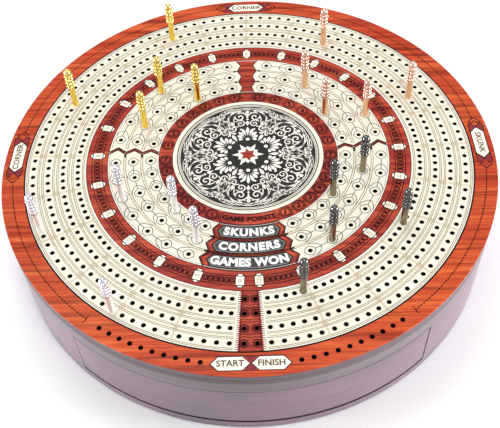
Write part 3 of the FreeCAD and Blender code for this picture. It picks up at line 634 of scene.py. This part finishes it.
def makeSpine():
    # teeth down both edges, twin rings round the holes, and waves between them: r = r0 + bend cos(4 pi t)
    dark, white, warm = Relief(0.04), Relief(0.06), Relief(0.03)
    p = spine
    inner, outer = borders["track"] * share, borders["rim"] * share
    count = int((outer - inner) / (p["toothPitch"] * mm))
    for side in (-1, 1):
        for spot in np.linspace(inner + p["toothEnd"] * mm, outer - p["toothEnd"] * mm, count):
            for relief, tooth, further in ((white, "whiteTooth", 0.0), (dark, "darkTooth", 0.5)):
                foot = polar(spot + further * p["toothPitch"] * mm, side * p["half"])
                relief.shape(foot + np.array(p[tooth]) * np.array([side, 1]) * mm)
        edge = polar(np.array([inner, outer]), side * p["half"])
        dark.line(edge - np.array([side * p["edgeInset"] * mm, 0]), p["edgeLine"])
    for radius in trackRadii:
        for side in (-1, 1):
            centre = polar(radius, side * p["holeAngle"])
            dark.ring(centre, p["ring"], p["ringLine"])
            dark.ring(centre, p["ring"] * p["innerRing"], p["innerLine"])
    wave = np.linspace(-p["half"] + p["waveInset"], p["half"] - p["waveInset"], 13)
    bend = p["bend"] * mm * np.cos(np.linspace(0, 4 * math.pi, 13))  # two waves across the strip
    for radius in trackRadii[:-1]:
        for shift, relief, width in ((0.0, warm, p["waveWide"]), (-p["waveShift"], dark, p["waveLine"]),
                                     (p["waveShift"], dark, p["waveLine"])):
            relief.line(polar(radius + tracks["pitch"] * share / 2 + shift * mm + bend, wave), width)
    raisePiece("spine_dark", dark, "dark_red")
    raisePiece("spine_teeth", white, "white_line")
    raisePiece("spine_bands", warm, "warm_red")


chain = {"circles": (0.5975, 0.6385), "circleLine": 0.34, "middle": 0.6175, "link": 1.75, "links": 6,
         "line": 0.36, "innerLine": 0.24, "plaqueFirst": 3.2, "plaquePitch": 14.73, "plaques": 25,
         "plaqueHalf": 3.2}


def makeChain():
    # overlapping rings between two engraved circles, from one number plaque to the next
    dark = Relief(0.04)
    for radius in chain["circles"]:
        dark.circle(radius * share, chain["circleLine"])
    radius = chain["middle"] * share
    margin = math.degrees((chain["plaqueHalf"] + chain["link"] * 0.75) * mm / radius)
    for k in range(chain["plaques"] - 1):
        start = chain["plaqueFirst"] + k * chain["plaquePitch"]
        for spot in np.linspace(start + margin, start + chain["plaquePitch"] - margin, chain["links"]):
            dark.ring(polar(radius, spot), chain["link"], chain["line"], 18)
            dark.ring(polar(radius, spot), chain["link"] / 2, chain["innerLine"], 12)
    raisePiece("chain_ring", dark, "dark_red")


plaque = {"across": 2.5, "along": 4.5, "corner": 1.3, "notch": 0.975, "line": 0.3, "size": 3.3, "bold": 0.012,
          "count": 5}


def makePlaques():
    # a dark outline and the number on every plaque, read from the outside in
    outline, number = Relief(0.05), Relief(0.04)
    a, b, c, notch = (plaque[key] for key in ("across", "along", "corner", "notch"))
    quarter = np.array([(a, b - c), (a - notch, b - notch), (a - c, b)])
    half = np.concatenate([quarter, mirrored(quarter)])
    middle = chain["middle"] * share
    for k in range(chain["plaques"]):
        angle = chain["plaqueFirst"] + (chain["plaques"] - 1 - k) * chain["plaquePitch"]
        outline.line(spots(beside, middle, angle, np.concatenate([half, -half])), plaque["line"], True)
        number.text(str(plaque["count"] * k), plaque["size"], lambda x, y: beside(middle, angle, -y, -x),
                    plaque["bold"])
    raisePiece("plaque_outlines", outline, "dark_red")
    raisePiece("plaque_numbers", number, "pale_burn")


cell = {"half": 3.472, "wide": 3.15, "line": 0.27, "arch": 3.9, "drop": 4.2, "dropShare": 0.36, "split": 0.45,
        "footShare": 0.12, "footOut": 0.5, "lowerEnds": (17.9, 93.4), "upperEnds": (95.8, 174.3),
        "bandHalf": 0.55, "bandEdge": 0.62, "bandLine": 0.24, "edgeInset": 1.0, "edgeLine": 0.14}


def makeCells():
    # each hole sits in a pointed oval inside a row of honeycomb arches
    lines, brown, tint = Relief(0.035), Relief(0.03), Relief(0.015)
    tip, reach = cell["half"] * mm, cell["arch"] * mm
    t = np.linspace(0, 1, 9)
    # the oval: along = half (1 - 2 t), across = wide sin(pi t)^0.75
    bulge = cell["wide"] * mm * np.sin(math.pi * t) ** 0.75
    along = np.concatenate([tip * (1 - 2 * t), tip * (2 * t[1:-1] - 1)])
    across = np.concatenate([bulge, -bulge[1:-1]])
    for side in (-1, 1):
        for kind in ("lower", "upper"):
            first, pitch = lanes[kind + "First"], lanes[kind + "Step"]
            for lane in range(lanes["count"]):
                radius = (lanes["first"] + lane * lanes["pitch"]) * share
                step = math.radians(pitch) * radius
                apex = tip + (step - 2 * tip) * cell["split"]
                drop = min(cell["drop"] * mm, step * cell["dropShare"])
                for hole in range(lanes["holes"]):
                    spot = side * (first + hole * pitch)

                    def draw(u, v, closed=False):
                        lines.line(alongLane(radius, spot, side * np.asarray(u), np.asarray(v)),
                                   cell["line"], closed)

                    draw(along, across, True)
                    if hole == lanes["holes"] - 1:
                        continue
                    draw([tip, apex], [0, 0])
                    draw([apex, step - tip], [0, 0])
                    for way in (-1, 1):
                        # an arm of the arch: along = apex - drop t^1.6, across = reach t^0.75
                        draw(apex - drop * t ** 1.6, way * reach * t ** 0.75)
                        draw([apex - drop, apex - drop - cell["footShare"] * step],
                             [way * reach, way * (reach + cell["footOut"] * mm)])
            start, end = cell[kind + "Ends"]
            for row in range(1, lanes["count"]):
                radius, half = rowEdge(row), cell["bandHalf"] * mm
                tint.between(arc(radius - half, side * start, side * end),
                             arc(radius + half, side * start, side * end))
                for shift in (-cell["bandEdge"], cell["bandEdge"]):
                    brown.line(arc(radius + shift * mm, side * start, side * end), cell["bandLine"])
            for row, shift in ((0, cell["edgeInset"]), (lanes["count"], -cell["edgeInset"])):
                brown.line(arc(rowEdge(row) + shift * mm, side * start, side * (end - 1)), cell["edgeLine"])
    raisePiece("cell_lines", lines, "grey_burn")
    raisePiece("lane_lines", brown, "lane_burn")
    raisePiece("lane_bands", tint, "cream_band")


bars = {"angle": 94.5, "width": 2.0, "rise": 2.6, "line": 0.42, "core": 0.42, "coreLine": 0.16, "notch": 17.6,
        "tip": 20.2, "edges": ((0.0, 0.5), (1.0, 0.2)), "rowLine": 0.34, "rowShift": 0.6, "spokeNotch": 4.8,
        "spokeTip": 2.9, "spokeInset": 0.9, "dash": 2.6, "dashLine": 0.6}


def makeBars():
    # black edges on the zigzag bars, on the label rows and on the spoke at the back
    black, inner = Relief(0.05), Relief(0.045)
    rows = np.arange(0, 3.5, 0.5)
    radius, betweenRows = rowEdge(rows), rows % 1 > 0
    half = np.degrees(bars["width"] * mm / 2 / radius)
    zigzag = bars["angle"] + np.where(betweenRows, 1, -1) * bars["rise"] / 2
    point = np.where(betweenRows, bars["tip"], bars["notch"])
    spoke = np.where(betweenRows, bars["spokeTip"], bars["spokeNotch"])
    lines = [(black, 180 - spoke, bars["line"])]
    for sign in (-1, 1):
        lines.append((black, zigzag + sign * half, bars["line"]))
        lines.append((inner, zigzag + sign * half * bars["core"], bars["coreLine"]))
    for relief, (inset, width) in zip((black, inner), bars["edges"]):
        lines.append((relief, point - np.degrees(inset * mm / radius), width))
    for relief, angles, width in lines:
        path = polar(radius, angles)
        relief.line(path, width)
        relief.line(mirrored(path), width)
    for row in range(4):
        black.line(arc(rowEdge(row), -bars["notch"], bars["notch"], 1.2), bars["rowLine"])
        for shift in (-bars["rowShift"], bars["rowShift"]):
            inner.line(arc(rowEdge(row) + shift * mm, 1 - bars["notch"], bars["notch"] - 1, 1.2),
                       bars["coreLine"])
    for reach, turn in zip(radius, spoke):
        turn = turn - bars["spokeInset"]
        inner.line(arc(reach, 180 - turn, 180 + turn, 1.0), bars["rowLine"])
    for row in (1, 2):
        away = math.degrees(bars["dash"] * mm / rowEdge(row))
        barEdge = bars["angle"] - bars["rise"] / 2 - half[2 * row]
        for edge, way in ((180 - bars["spokeNotch"], -1), (bars["notch"], 1), (barEdge, -1)):
            for side in (-1, 1):
                black.line(arc(rowEdge(row), side * edge, side * (edge + way * away), 1.0), bars["dashLine"])
    raisePiece("bar_edges", black, "black_line")
    raisePiece("bar_lines", inner, "dark_red")


labels = {"words": ("SKUNKS", "CORNERS", "GAMES WON"), "size": 7.0, "spacing": (1.16, 1.16, 1.06),
          "bold": 0.055, "edge": 15.0, "tip": 17.3, "margin": 1.1, "tipInset": 1.3,
          "edges": ((0.0, 0.4), (0.75, 0.45))}


def makeLabels():
    # words bent along their row, (x, y) to the angle x / r and the radius r - y, inside two pointed frames
    white, hatch, black = Relief(0.07), Relief(0.03), Relief(0.05)
    p = labels
    for row, words in enumerate(p["words"]):
        middle = rowEdge(row + 0.5)
        white.text(words, p["size"], lambda x, y: polar(middle - y, np.degrees(x / middle)), p["bold"],
                   p["spacing"][row])
        for relief, (inset, width) in zip((black, hatch), p["edges"]):
            turn = math.degrees(inset * mm / middle)
            edge, tip = p["edge"] - turn, p["tip"] - turn * p["tipInset"]
            inner = arc(rowEdge(row) + (p["margin"] + inset) * mm, -edge, edge)
            outer = arc(rowEdge(row + 1) - (p["margin"] + inset) * mm, edge, -edge)
            relief.line(np.concatenate([inner, [polar(middle, tip)], outer, [polar(middle, -tip)]]),
                        width, True)
    raisePiece("label_letters", white, "white_letter")
    raisePiece("label_hatch", hatch, "grey_hatch")
    raisePiece("label_edges", black, "black_line")


numberRing = {"middle": 0.337, "outer": 3.7, "outerLine": 0.34, "inner": 2.75, "innerLine": 0.42, "size": 4.6,
              "bold": 0.05, "bracket": ((0.35, 0.0), (0.8, 1.6), (1.6, 2.9), (2.2, 3.5)), "bracketLine": 0.22,
              "words": "GAME POINTS", "wordSize": 4.7, "wordBold": 0.045, "wordSpacing": 1.05,
              "edge": 3.75, "edgeLine": 0.26, "ends": ((17.2, 19.0, 0.26), (18.6, 20.3, 0.22)),
              "flares": (((5.0, 4.2), (2.9, 0.2), (4.4, -3.9)), ((6.2, 4.2), (4.2, 0.2), (5.6, -3.9))),
              "flareLine": 0.3}


def makeNumberRing():
    # twin circles with the digits 1 to 7, joined by brackets, beside the scoring holes
    dark, digits = Relief(0.04), Relief(0.045)
    p = numberRing
    middle = p["middle"] * share
    for side in (-1, 1):
        for kind in ("lower", "upper"):
            first, pitch = lanes[kind + "First"], lanes[kind + "Step"]
            for hole in range(lanes["holes"]):
                angle = side * (first + hole * pitch)
                centre = polar(middle, angle)
                dark.ring(centre, p["outer"], p["outerLine"], 24)
                dark.ring(centre, p["inner"], p["innerLine"], 20)
                digits.text(str(hole + 1), p["size"], lambda x, y: centre + np.stack([x, y], -1), p["bold"])
                if hole < lanes["holes"] - 1:
                    for way in (-1, 1):
                        for up in (-1, 1):
                            dark.line(spots(alongLane, middle, angle + side * pitch / 2, p["bracket"], way, up),
                                      p["bracketLine"])
        for end, tip, width in p["ends"]:
            radii = middle + np.array([p["edge"], 0, -p["edge"]]) * mm
            dark.line(polar(radii, side * np.array([end, tip, end])), width)
        for flare in p["flares"]:
            dark.line(spots(beside, middle, 180, flare, side), p["flareLine"])
    for shift in (-p["edge"], p["edge"]):
        end = p["ends"][0][0]
        dark.line(arc(middle + shift * mm, -end, end), p["edgeLine"])
    digits.text(p["words"], p["wordSize"], lambda x, y: polar(middle - y, np.degrees(x / middle)),
                p["wordBold"], p["wordSpacing"])
    raisePiece("number_rings", dark, "dark_red")
    raisePiece("number_digits", digits, "dark_red")


tagPlan = {"radius": 142.6, "height": 8.0, "point": 4.0, "line": 0.34, "bold": 0.02,
           "sideLength": 25.5, "sideAngle": 91.7, "sideSize": 5.0, "sideSpacing": 1.05,
           "endLength": 20.6, "endGap": 0.6, "endSize": 4.9,
           "endRibbon": ((-3.4, 3.9), (3.4, 3.9), (0.45, 0.7), (-0.45, 0.7)),
           "endEdge": ((-3.6, 4.0), (3.6, 4.0)), "endLine": 0.25,
           "ribbon": ((-4.0, 4.2), (0.1, 0.3), (1.6, 0.6), (4.6, 3.4), (2.4, 4.2)),
           "arrows": ((((-4.3, 4.4), (2.6, 4.4)), 0.35), (((-4.0, 4.2), (0.5, 0), (4.8, -3.8)), 0.32),
                      (((2.6, 4.4), (4.2, 1.8), (5.6, 0)), 0.32), (((4.8, 3.8), (8.2, 0)), 0.4))}


def tagOutline(angle, length, across):
    half, rise, corner = length / 2, tagPlan["height"] / 2, length / 2 - tagPlan["point"]
    u = np.array([half, corner, -corner, -half, -corner, corner]) + across
    v = np.array([0, rise, rise, 0, -rise, -rise])
    return beside(tagPlan["radius"] * mm, angle, u * mm, v * mm)


def makeTags():
    # pale hexagons with black edges and brown letters, and dark ribbons beyond their points
    black, brown, red, ribbon = Relief(0.05), Relief(0.045), Relief(0.04), Relief(0.025)
    p = tagPlan
    radius = p["radius"] * mm
    place = (p["endGap"] + p["endLength"]) / 2
    for words, across in (("START", -place), ("FINISH", place)):
        black.line(tagOutline(0, p["endLength"], across), p["line"], True)
        brown.text(words, p["endSize"], lambda x, y: beside(radius, 0, x + across * mm, -y), p["bold"])
    for up in (-1, 1):
        ribbon.shape(spots(beside, radius, 0, p["endRibbon"], 1, up))
        black.line(spots(beside, radius, 0, p["endEdge"], 1, up), p["endLine"])
    side, half = p["sideAngle"], p["sideLength"] / 2
    for words, angle in (("CORNER", -side), ("CORNER", 180), ("SKUNK", side)):
        black.line(tagOutline(angle, p["sideLength"], 0), p["line"], True)
        brown.text(words, p["sideSize"], lambda x, y: beside(radius, angle, -x, y), p["bold"],
                   p["sideSpacing"])
        for way in (-1, 1):
            for up in (-1, 1):
                ribbon.shape(spots(beside, radius, angle, np.array(p["ribbon"]) + (half, 0), way, up))
                for pairs, width in p["arrows"]:
                    red.line(spots(beside, radius, angle, np.array(pairs) + (half, 0), way, up), width)
    raisePiece("tag_edges", black, "black_line")
    raisePiece("tag_letters", brown, "burnt")
    raisePiece("tag_ribbons", ribbon, "ribbon_red")
    raisePiece("tag_points", red, "dark_red")


rimDots = {"radius": 0.9553, "pitch": 2.05, "diamond": (0.713, 0.496), "line": 0.14, "start": 37.5,
           "tagClear": 8.4, "ticks": (((0.0, 0.0), (-0.6, 1.4), (0.0, 3.2)), ((0.0, 0.0), (0.0, -2.6))),
           "tickLine": 0.3}


def makeRimDots():
    # a thin engraved circle strung with small diamonds, between the tags
    dark = Relief(0.04)
    p = rimDots
    radius = p["radius"] * share
    edge = math.degrees((tagPlan["sideLength"] / 2 + p["tagClear"]) * mm / radius)
    for side in (-1, 1):
        for start, end in ((p["start"], tagPlan["sideAngle"] - edge),
                           (tagPlan["sideAngle"] + edge, 180 - edge)):
            dark.line(arc(radius, side * start, side * end), p["line"])
            count = int(math.radians(end - start) * radius / (p["pitch"] * mm))
            for angle in np.linspace(start, end, count):
                dark.shape(spots(alongLane, radius, side * angle, diamond(*p["diamond"])))
        for tick in p["ticks"]:
            dark.line(spots(alongLane, radius, side * p["start"], tick, side), p["tickLine"])
    raisePiece("rim_dots", dark, "black_line")


# lengths are shares of the ground's radius, measured outwards and aside; the star's and the hole's are in
# shares of the board and in mm
medallion = {
    "ground": 0.277, "groundHole": 4.6, "line": 0.62, "star": (0.047, 0.0375, 0.0655, 0.0375),
    "starHole": (5.3, 4.0, 3.15, 4.0), "starTurn": 10,
    "fan": (0, -21, 21, -43, 43, -66, 66, -92, 92), "fanBase": 0.315, "fanStart": 0.06, "fanReach": 0.25,
    "fanShrink": 0.0012, "fanWide": 0.05,
    "petals": (((0.585, 0), (0.69, 0), 0.06),),
    "dots": (((0.31, 0), 0.03), ((0.725, 0), 0.018), ((0.765, 0), 0.014), ((0.80, 0), 0.018),
             ((0.84, 0), 0.022), ((0.885, 0), 0.03)),
    "pairedPetals": (((0.40, 0.185), (0.475, 0.245), 0.05), ((0.69, 0.255), (0.60, 0.20), 0.04)),
    "pairedDots": (((0.515, 0.10), 0.016), ((0.87, 0.06), 0.014), ((0.945, 0.155), 0.018),
                   ((0.71, 0.305), 0.015)),
    # control points and weight of each curve
    "curves": (((0.945, 0.0), (0.93, 0.12), (0.80, 0.24), (0.66, 0.20), 0.8),
               ((0.97, 0.0), (0.965, 0.16), (0.86, 0.30), (0.70, 0.285), 0.6),
               ((0.70, 0.285), (0.61, 0.27), (0.56, 0.20), (0.575, 0.13), 0.8),
               ((0.96, 0.13), (0.93, 0.30), (0.80, 0.42), (0.66, 0.43), 0.65),
               ((0.66, 0.43), (0.55, 0.42), (0.50, 0.36), (0.48, 0.285), 0.85),
               ((0.955, 0.22), (0.90, 0.40), (0.82, 0.455), (0.73, 0.455), 0.5),
               ((0.925, 0.06), (0.90, 0.26), (0.72, 0.36), (0.575, 0.275), 0.9),
               ((0.905, 0.20), (0.86, 0.36), (0.74, 0.43), (0.62, 0.36), 0.8),
               ((0.62, 0.36), (0.53, 0.30), (0.47, 0.265), (0.435, 0.17), 0.8),
               ((0.785, 0.345), (0.73, 0.40), (0.65, 0.40), 0.7)),
    # centre, starting angle, outer and inner radius, turns, direction and weight of each scroll
    "scrolls": (((0.775, 0.115), -75, 0.108, 0.012, 1.55, 1, 0.95),
                ((0.635, 0.105), 60, 0.082, 0.01, 1.5, -1, 0.85),
                ((0.53, 0.215), 45, 0.072, 0.01, 1.45, 1, 0.85),
                ((0.845, 0.355), 200, 0.066, 0.01, 1.4, -1, 0.8)),
    "betweenPetals": (((0.30, 0), (0.46, 0), 0.055), ((0.50, 0), (0.61, 0), 0.06),
                      ((0.70, 0), (0.81, 0), 0.06), ((0.83, 0), (0.94, 0), 0.05),
                      ((0.84, 0.02), (0.91, 0.085), 0.035), ((0.84, -0.02), (0.91, -0.085), 0.035)),
    "betweenDots": (((0.655, 0), 0.02),)}


def spiralPath(centre, start, radiusFrom, radiusTo, turns, way):
    # a scroll: the radius shrinks as t^0.85 while the angle turns
    t = np.linspace(0, 1, 26)
    angle = math.radians(start) + way * t * turns * 2 * math.pi
    radius = radiusFrom + (radiusTo - radiusFrom) * t ** 0.85
    return np.asarray(centre) + np.stack([radius * np.cos(angle), radius * np.sin(angle)], -1)


def curvePath(points):
    # a smooth curve through its end points: Bezier with two or one control points
    points = np.array(points, float)
    t = np.linspace(0, 1, 22)[:, None]
    if len(points) == 3:
        return (1 - t) ** 2 * points[0] + 2 * (1 - t) * t * points[1] + t ** 2 * points[2]
    return ((1 - t) ** 3 * points[0] + 3 * (1 - t) ** 2 * t * points[1]
            + 3 * (1 - t) * t ** 2 * points[2] + t ** 3 * points[3])


def petal(base, tip, width):
    # a teardrop: half width = width / 2 sin(pi t^(1 / 0.62))
    base, tip = np.array(base, float), np.array(tip, float)
    axis = tip - base
    side = np.array([-axis[1], axis[0]]) / np.linalg.norm(axis)
    t = np.linspace(0, 1, 9)
    half = width * np.sin(math.pi * t ** (1 / 0.62)) * 0.5
    return np.concatenate([base + axis * t[:, None] + side * half[:, None],
                           (base + axis * t[1:-1, None] - side * half[1:-1, None])[::-1]])


def makeMedallion():
    # a six-fold rosette of scrolls and palmettes, white on a charcoal ground
    ground, white, star = Relief(0.02), Relief(0.06, widen=1.25), Relief(0.075)
    p = medallion
    u = p["ground"] * share
    band = np.linspace(0, 360, 91)[:-1]
    ground.between(polar(np.full(90, p["groundHole"] * mm), band), polar(np.full(90, u), band), True)
    steps = np.arange(24) * 15.0
    star.between(polar(np.tile(p["starHole"], 6) * mm, steps + p["starTurn"]),
                 polar(np.tile(p["star"], 6) * share, steps), True)
    shapes, strokes = [], []
    for angle in p["fan"]:
        # petals of a palmette fan out from one base, each shorter as it leans further
        lean = np.array((math.cos(math.radians(angle)), math.sin(math.radians(angle))))
        base, reach = np.array((p["fanBase"], 0)), p["fanReach"] - p["fanShrink"] * abs(angle)
        shapes.append(petal(base + p["fanStart"] * lean, base + reach * lean, p["fanWide"]))
    shapes += [petal(*item) for item in p["petals"]] + [loop(*item, 12) for item in p["dots"]]
    for way in (-1, 1):
        flip = np.array([1.0, float(way)])
        shapes += [petal(base * flip, tip * flip, width) for base, tip, width in p["pairedPetals"]]
        shapes += [loop(centre * flip, radius, 12) for centre, radius in p["pairedDots"]]
        strokes += [(curvePath(points) * flip, weight) for *points, weight in p["curves"]]
        strokes += [(spiralPath(*item) * flip, weight) for *item, weight in p["scrolls"]]
    between = [petal(*item) for item in p["betweenPetals"]] + [loop(*item, 12) for item in p["betweenDots"]]
    for fold in range(6):
        for outline in shapes:
            white.shape(turned(outline * u, 90 + 60 * fold))
        for outline in between:
            white.shape(turned(outline * u, 60 * fold))
        for path, weight in strokes:
            white.line(turned(path * u, 90 + 60 * fold), p["line"] * weight)
    raisePiece("medallion_ground", ground, "ground")
    raisePiece("medallion_scrolls", white, "pale_scroll")
    raisePiece("medallion_points", star, "pale_scroll")


dressNodes()
for nodeName in sorted(nodes):
    if nodeName.startswith("peg_"):
        makePeg(nodeName, slotOf[nodeName])
print("made the pegs")
makeTrackLines()
makeBorders()
makeSpine()
makeChain()
makePlaques()
makeCells()
makeBars()
makeLabels()
makeNumberRing()
makeTags()
makeRimDots()
makeMedallion()

studio = {"floor": 0.92, "floorReach": 14.0, "floorGap": 0.2, "world": 0.6, "worldLight": (1.0, 1.0, 1.0, 1.0)}
# place, size, power and colour of each light
studioLights = {"softbox": ((-0.2, 0.45, 1.3), 0.7, 6.5, (1, 1, 1)),
                "left": ((-1.4, -0.2, 0.12), 0.5, 27.0, (0.90, 0.91, 1)),
                "right": ((1.4, -0.2, 0.12), 0.5, 41.0, (0.95, 0.94, 1)),
                "sparkle": ((0.2, -0.5, 1.3), 0.26, 4.0, (1, 1, 1))}
cameraPlan = {"lens": 59.2, "elevation": 51.8, "roll": -3.12, "turn": 1.75,
              "distance": 3.1737, "aside": -0.0048, "ahead": -0.310}


def makeFloor():
    shade = Shade("studio_floor")
    drift = shade.noise((1, 1, 1), 3.0, 3.0, 0.5)
    grey, reach = studio["floor"], studio["floorReach"]
    tone = shade.mix(drift, (grey, grey, grey), (grey * 1.02, grey * 1.02, grey * 1.02))
    material = shade.finish(tone, 0.6 + drift * 0.1, drift, 0.05, 0.1)
    mesh = bpy.data.meshes.new("floor")
    corners = [(-reach, -reach, 0), (reach, -reach, 0), (reach, reach, 0), (-reach, reach, 0)]
    mesh.from_pydata(corners, [], [[0, 1, 2, 3]])
    floor = bpy.data.objects.new("floor", mesh)
    bpy.context.scene.collection.objects.link(floor)
    mesh.materials.append(material)
    floor.location.z = cadLow.z - studio["floorGap"] * mm


def makeLight(name, place, size, power, colour):
    data = bpy.data.lights.new(name, "AREA")
    data.energy, data.size, data.color = power, size, colour
    light = bpy.data.objects.new(name, data)
    bpy.context.scene.collection.objects.link(light)
    light.location = place
    back = np.array(place) - np.array((0, 0, faceTop))
    light.rotation_mode = "QUATERNION"
    light.rotation_quaternion = mathutils.Vector(back.tolist()).to_track_quat("Z", "Y")


def makeCamera():
    # the camera stands behind a point on the face; roll turns it about its own line of sight
    plan = cameraPlan
    tilt, roll, turn = (math.radians(plan[key]) for key in ("elevation", "roll", "turn"))
    back = np.array([0, -math.cos(tilt), math.sin(tilt)])
    right = np.array([1.0, 0, 0])
    up = np.cross(back, right)
    across = right * math.cos(roll) + up * math.sin(roll)
    upright = -right * math.sin(roll) + up * math.cos(roll)
    spin = np.array([[math.cos(turn), -math.sin(turn), 0], [math.sin(turn), math.cos(turn), 0], [0, 0, 1]])
    aim = np.array([plan["aside"], plan["ahead"], 0]) * share
    matrix = np.eye(4)
    matrix[:3, :3] = np.stack([spin @ across, spin @ upright, spin @ back], 1)
    matrix[:3, 3] = spin @ (aim + back * plan["distance"] * share) + np.array([0, 0, faceTop])
    data = bpy.data.cameras.new("camera")
    data.lens, data.sensor_width = plan["lens"], 36.0
    data.clip_start, data.clip_end = 0.01, 60.0
    camera = bpy.data.objects.new("camera", data)
    bpy.context.scene.collection.objects.link(camera)
    camera.matrix_world = mathutils.Matrix(matrix.tolist())
    bpy.context.scene.camera = camera


makeFloor()
world = bpy.data.worlds.new("studio")
world.use_nodes = True
background = world.node_tree.nodes["Background"]
background.inputs["Color"].default_value = studio["worldLight"]
background.inputs["Strength"].default_value = studio["world"]
bpy.context.scene.world = world
bpy.context.scene.view_settings.view_transform = "Standard"
for lightName, plan in studioLights.items():
    makeLight(lightName, *plan)
makeCamera()
print("made the studio")
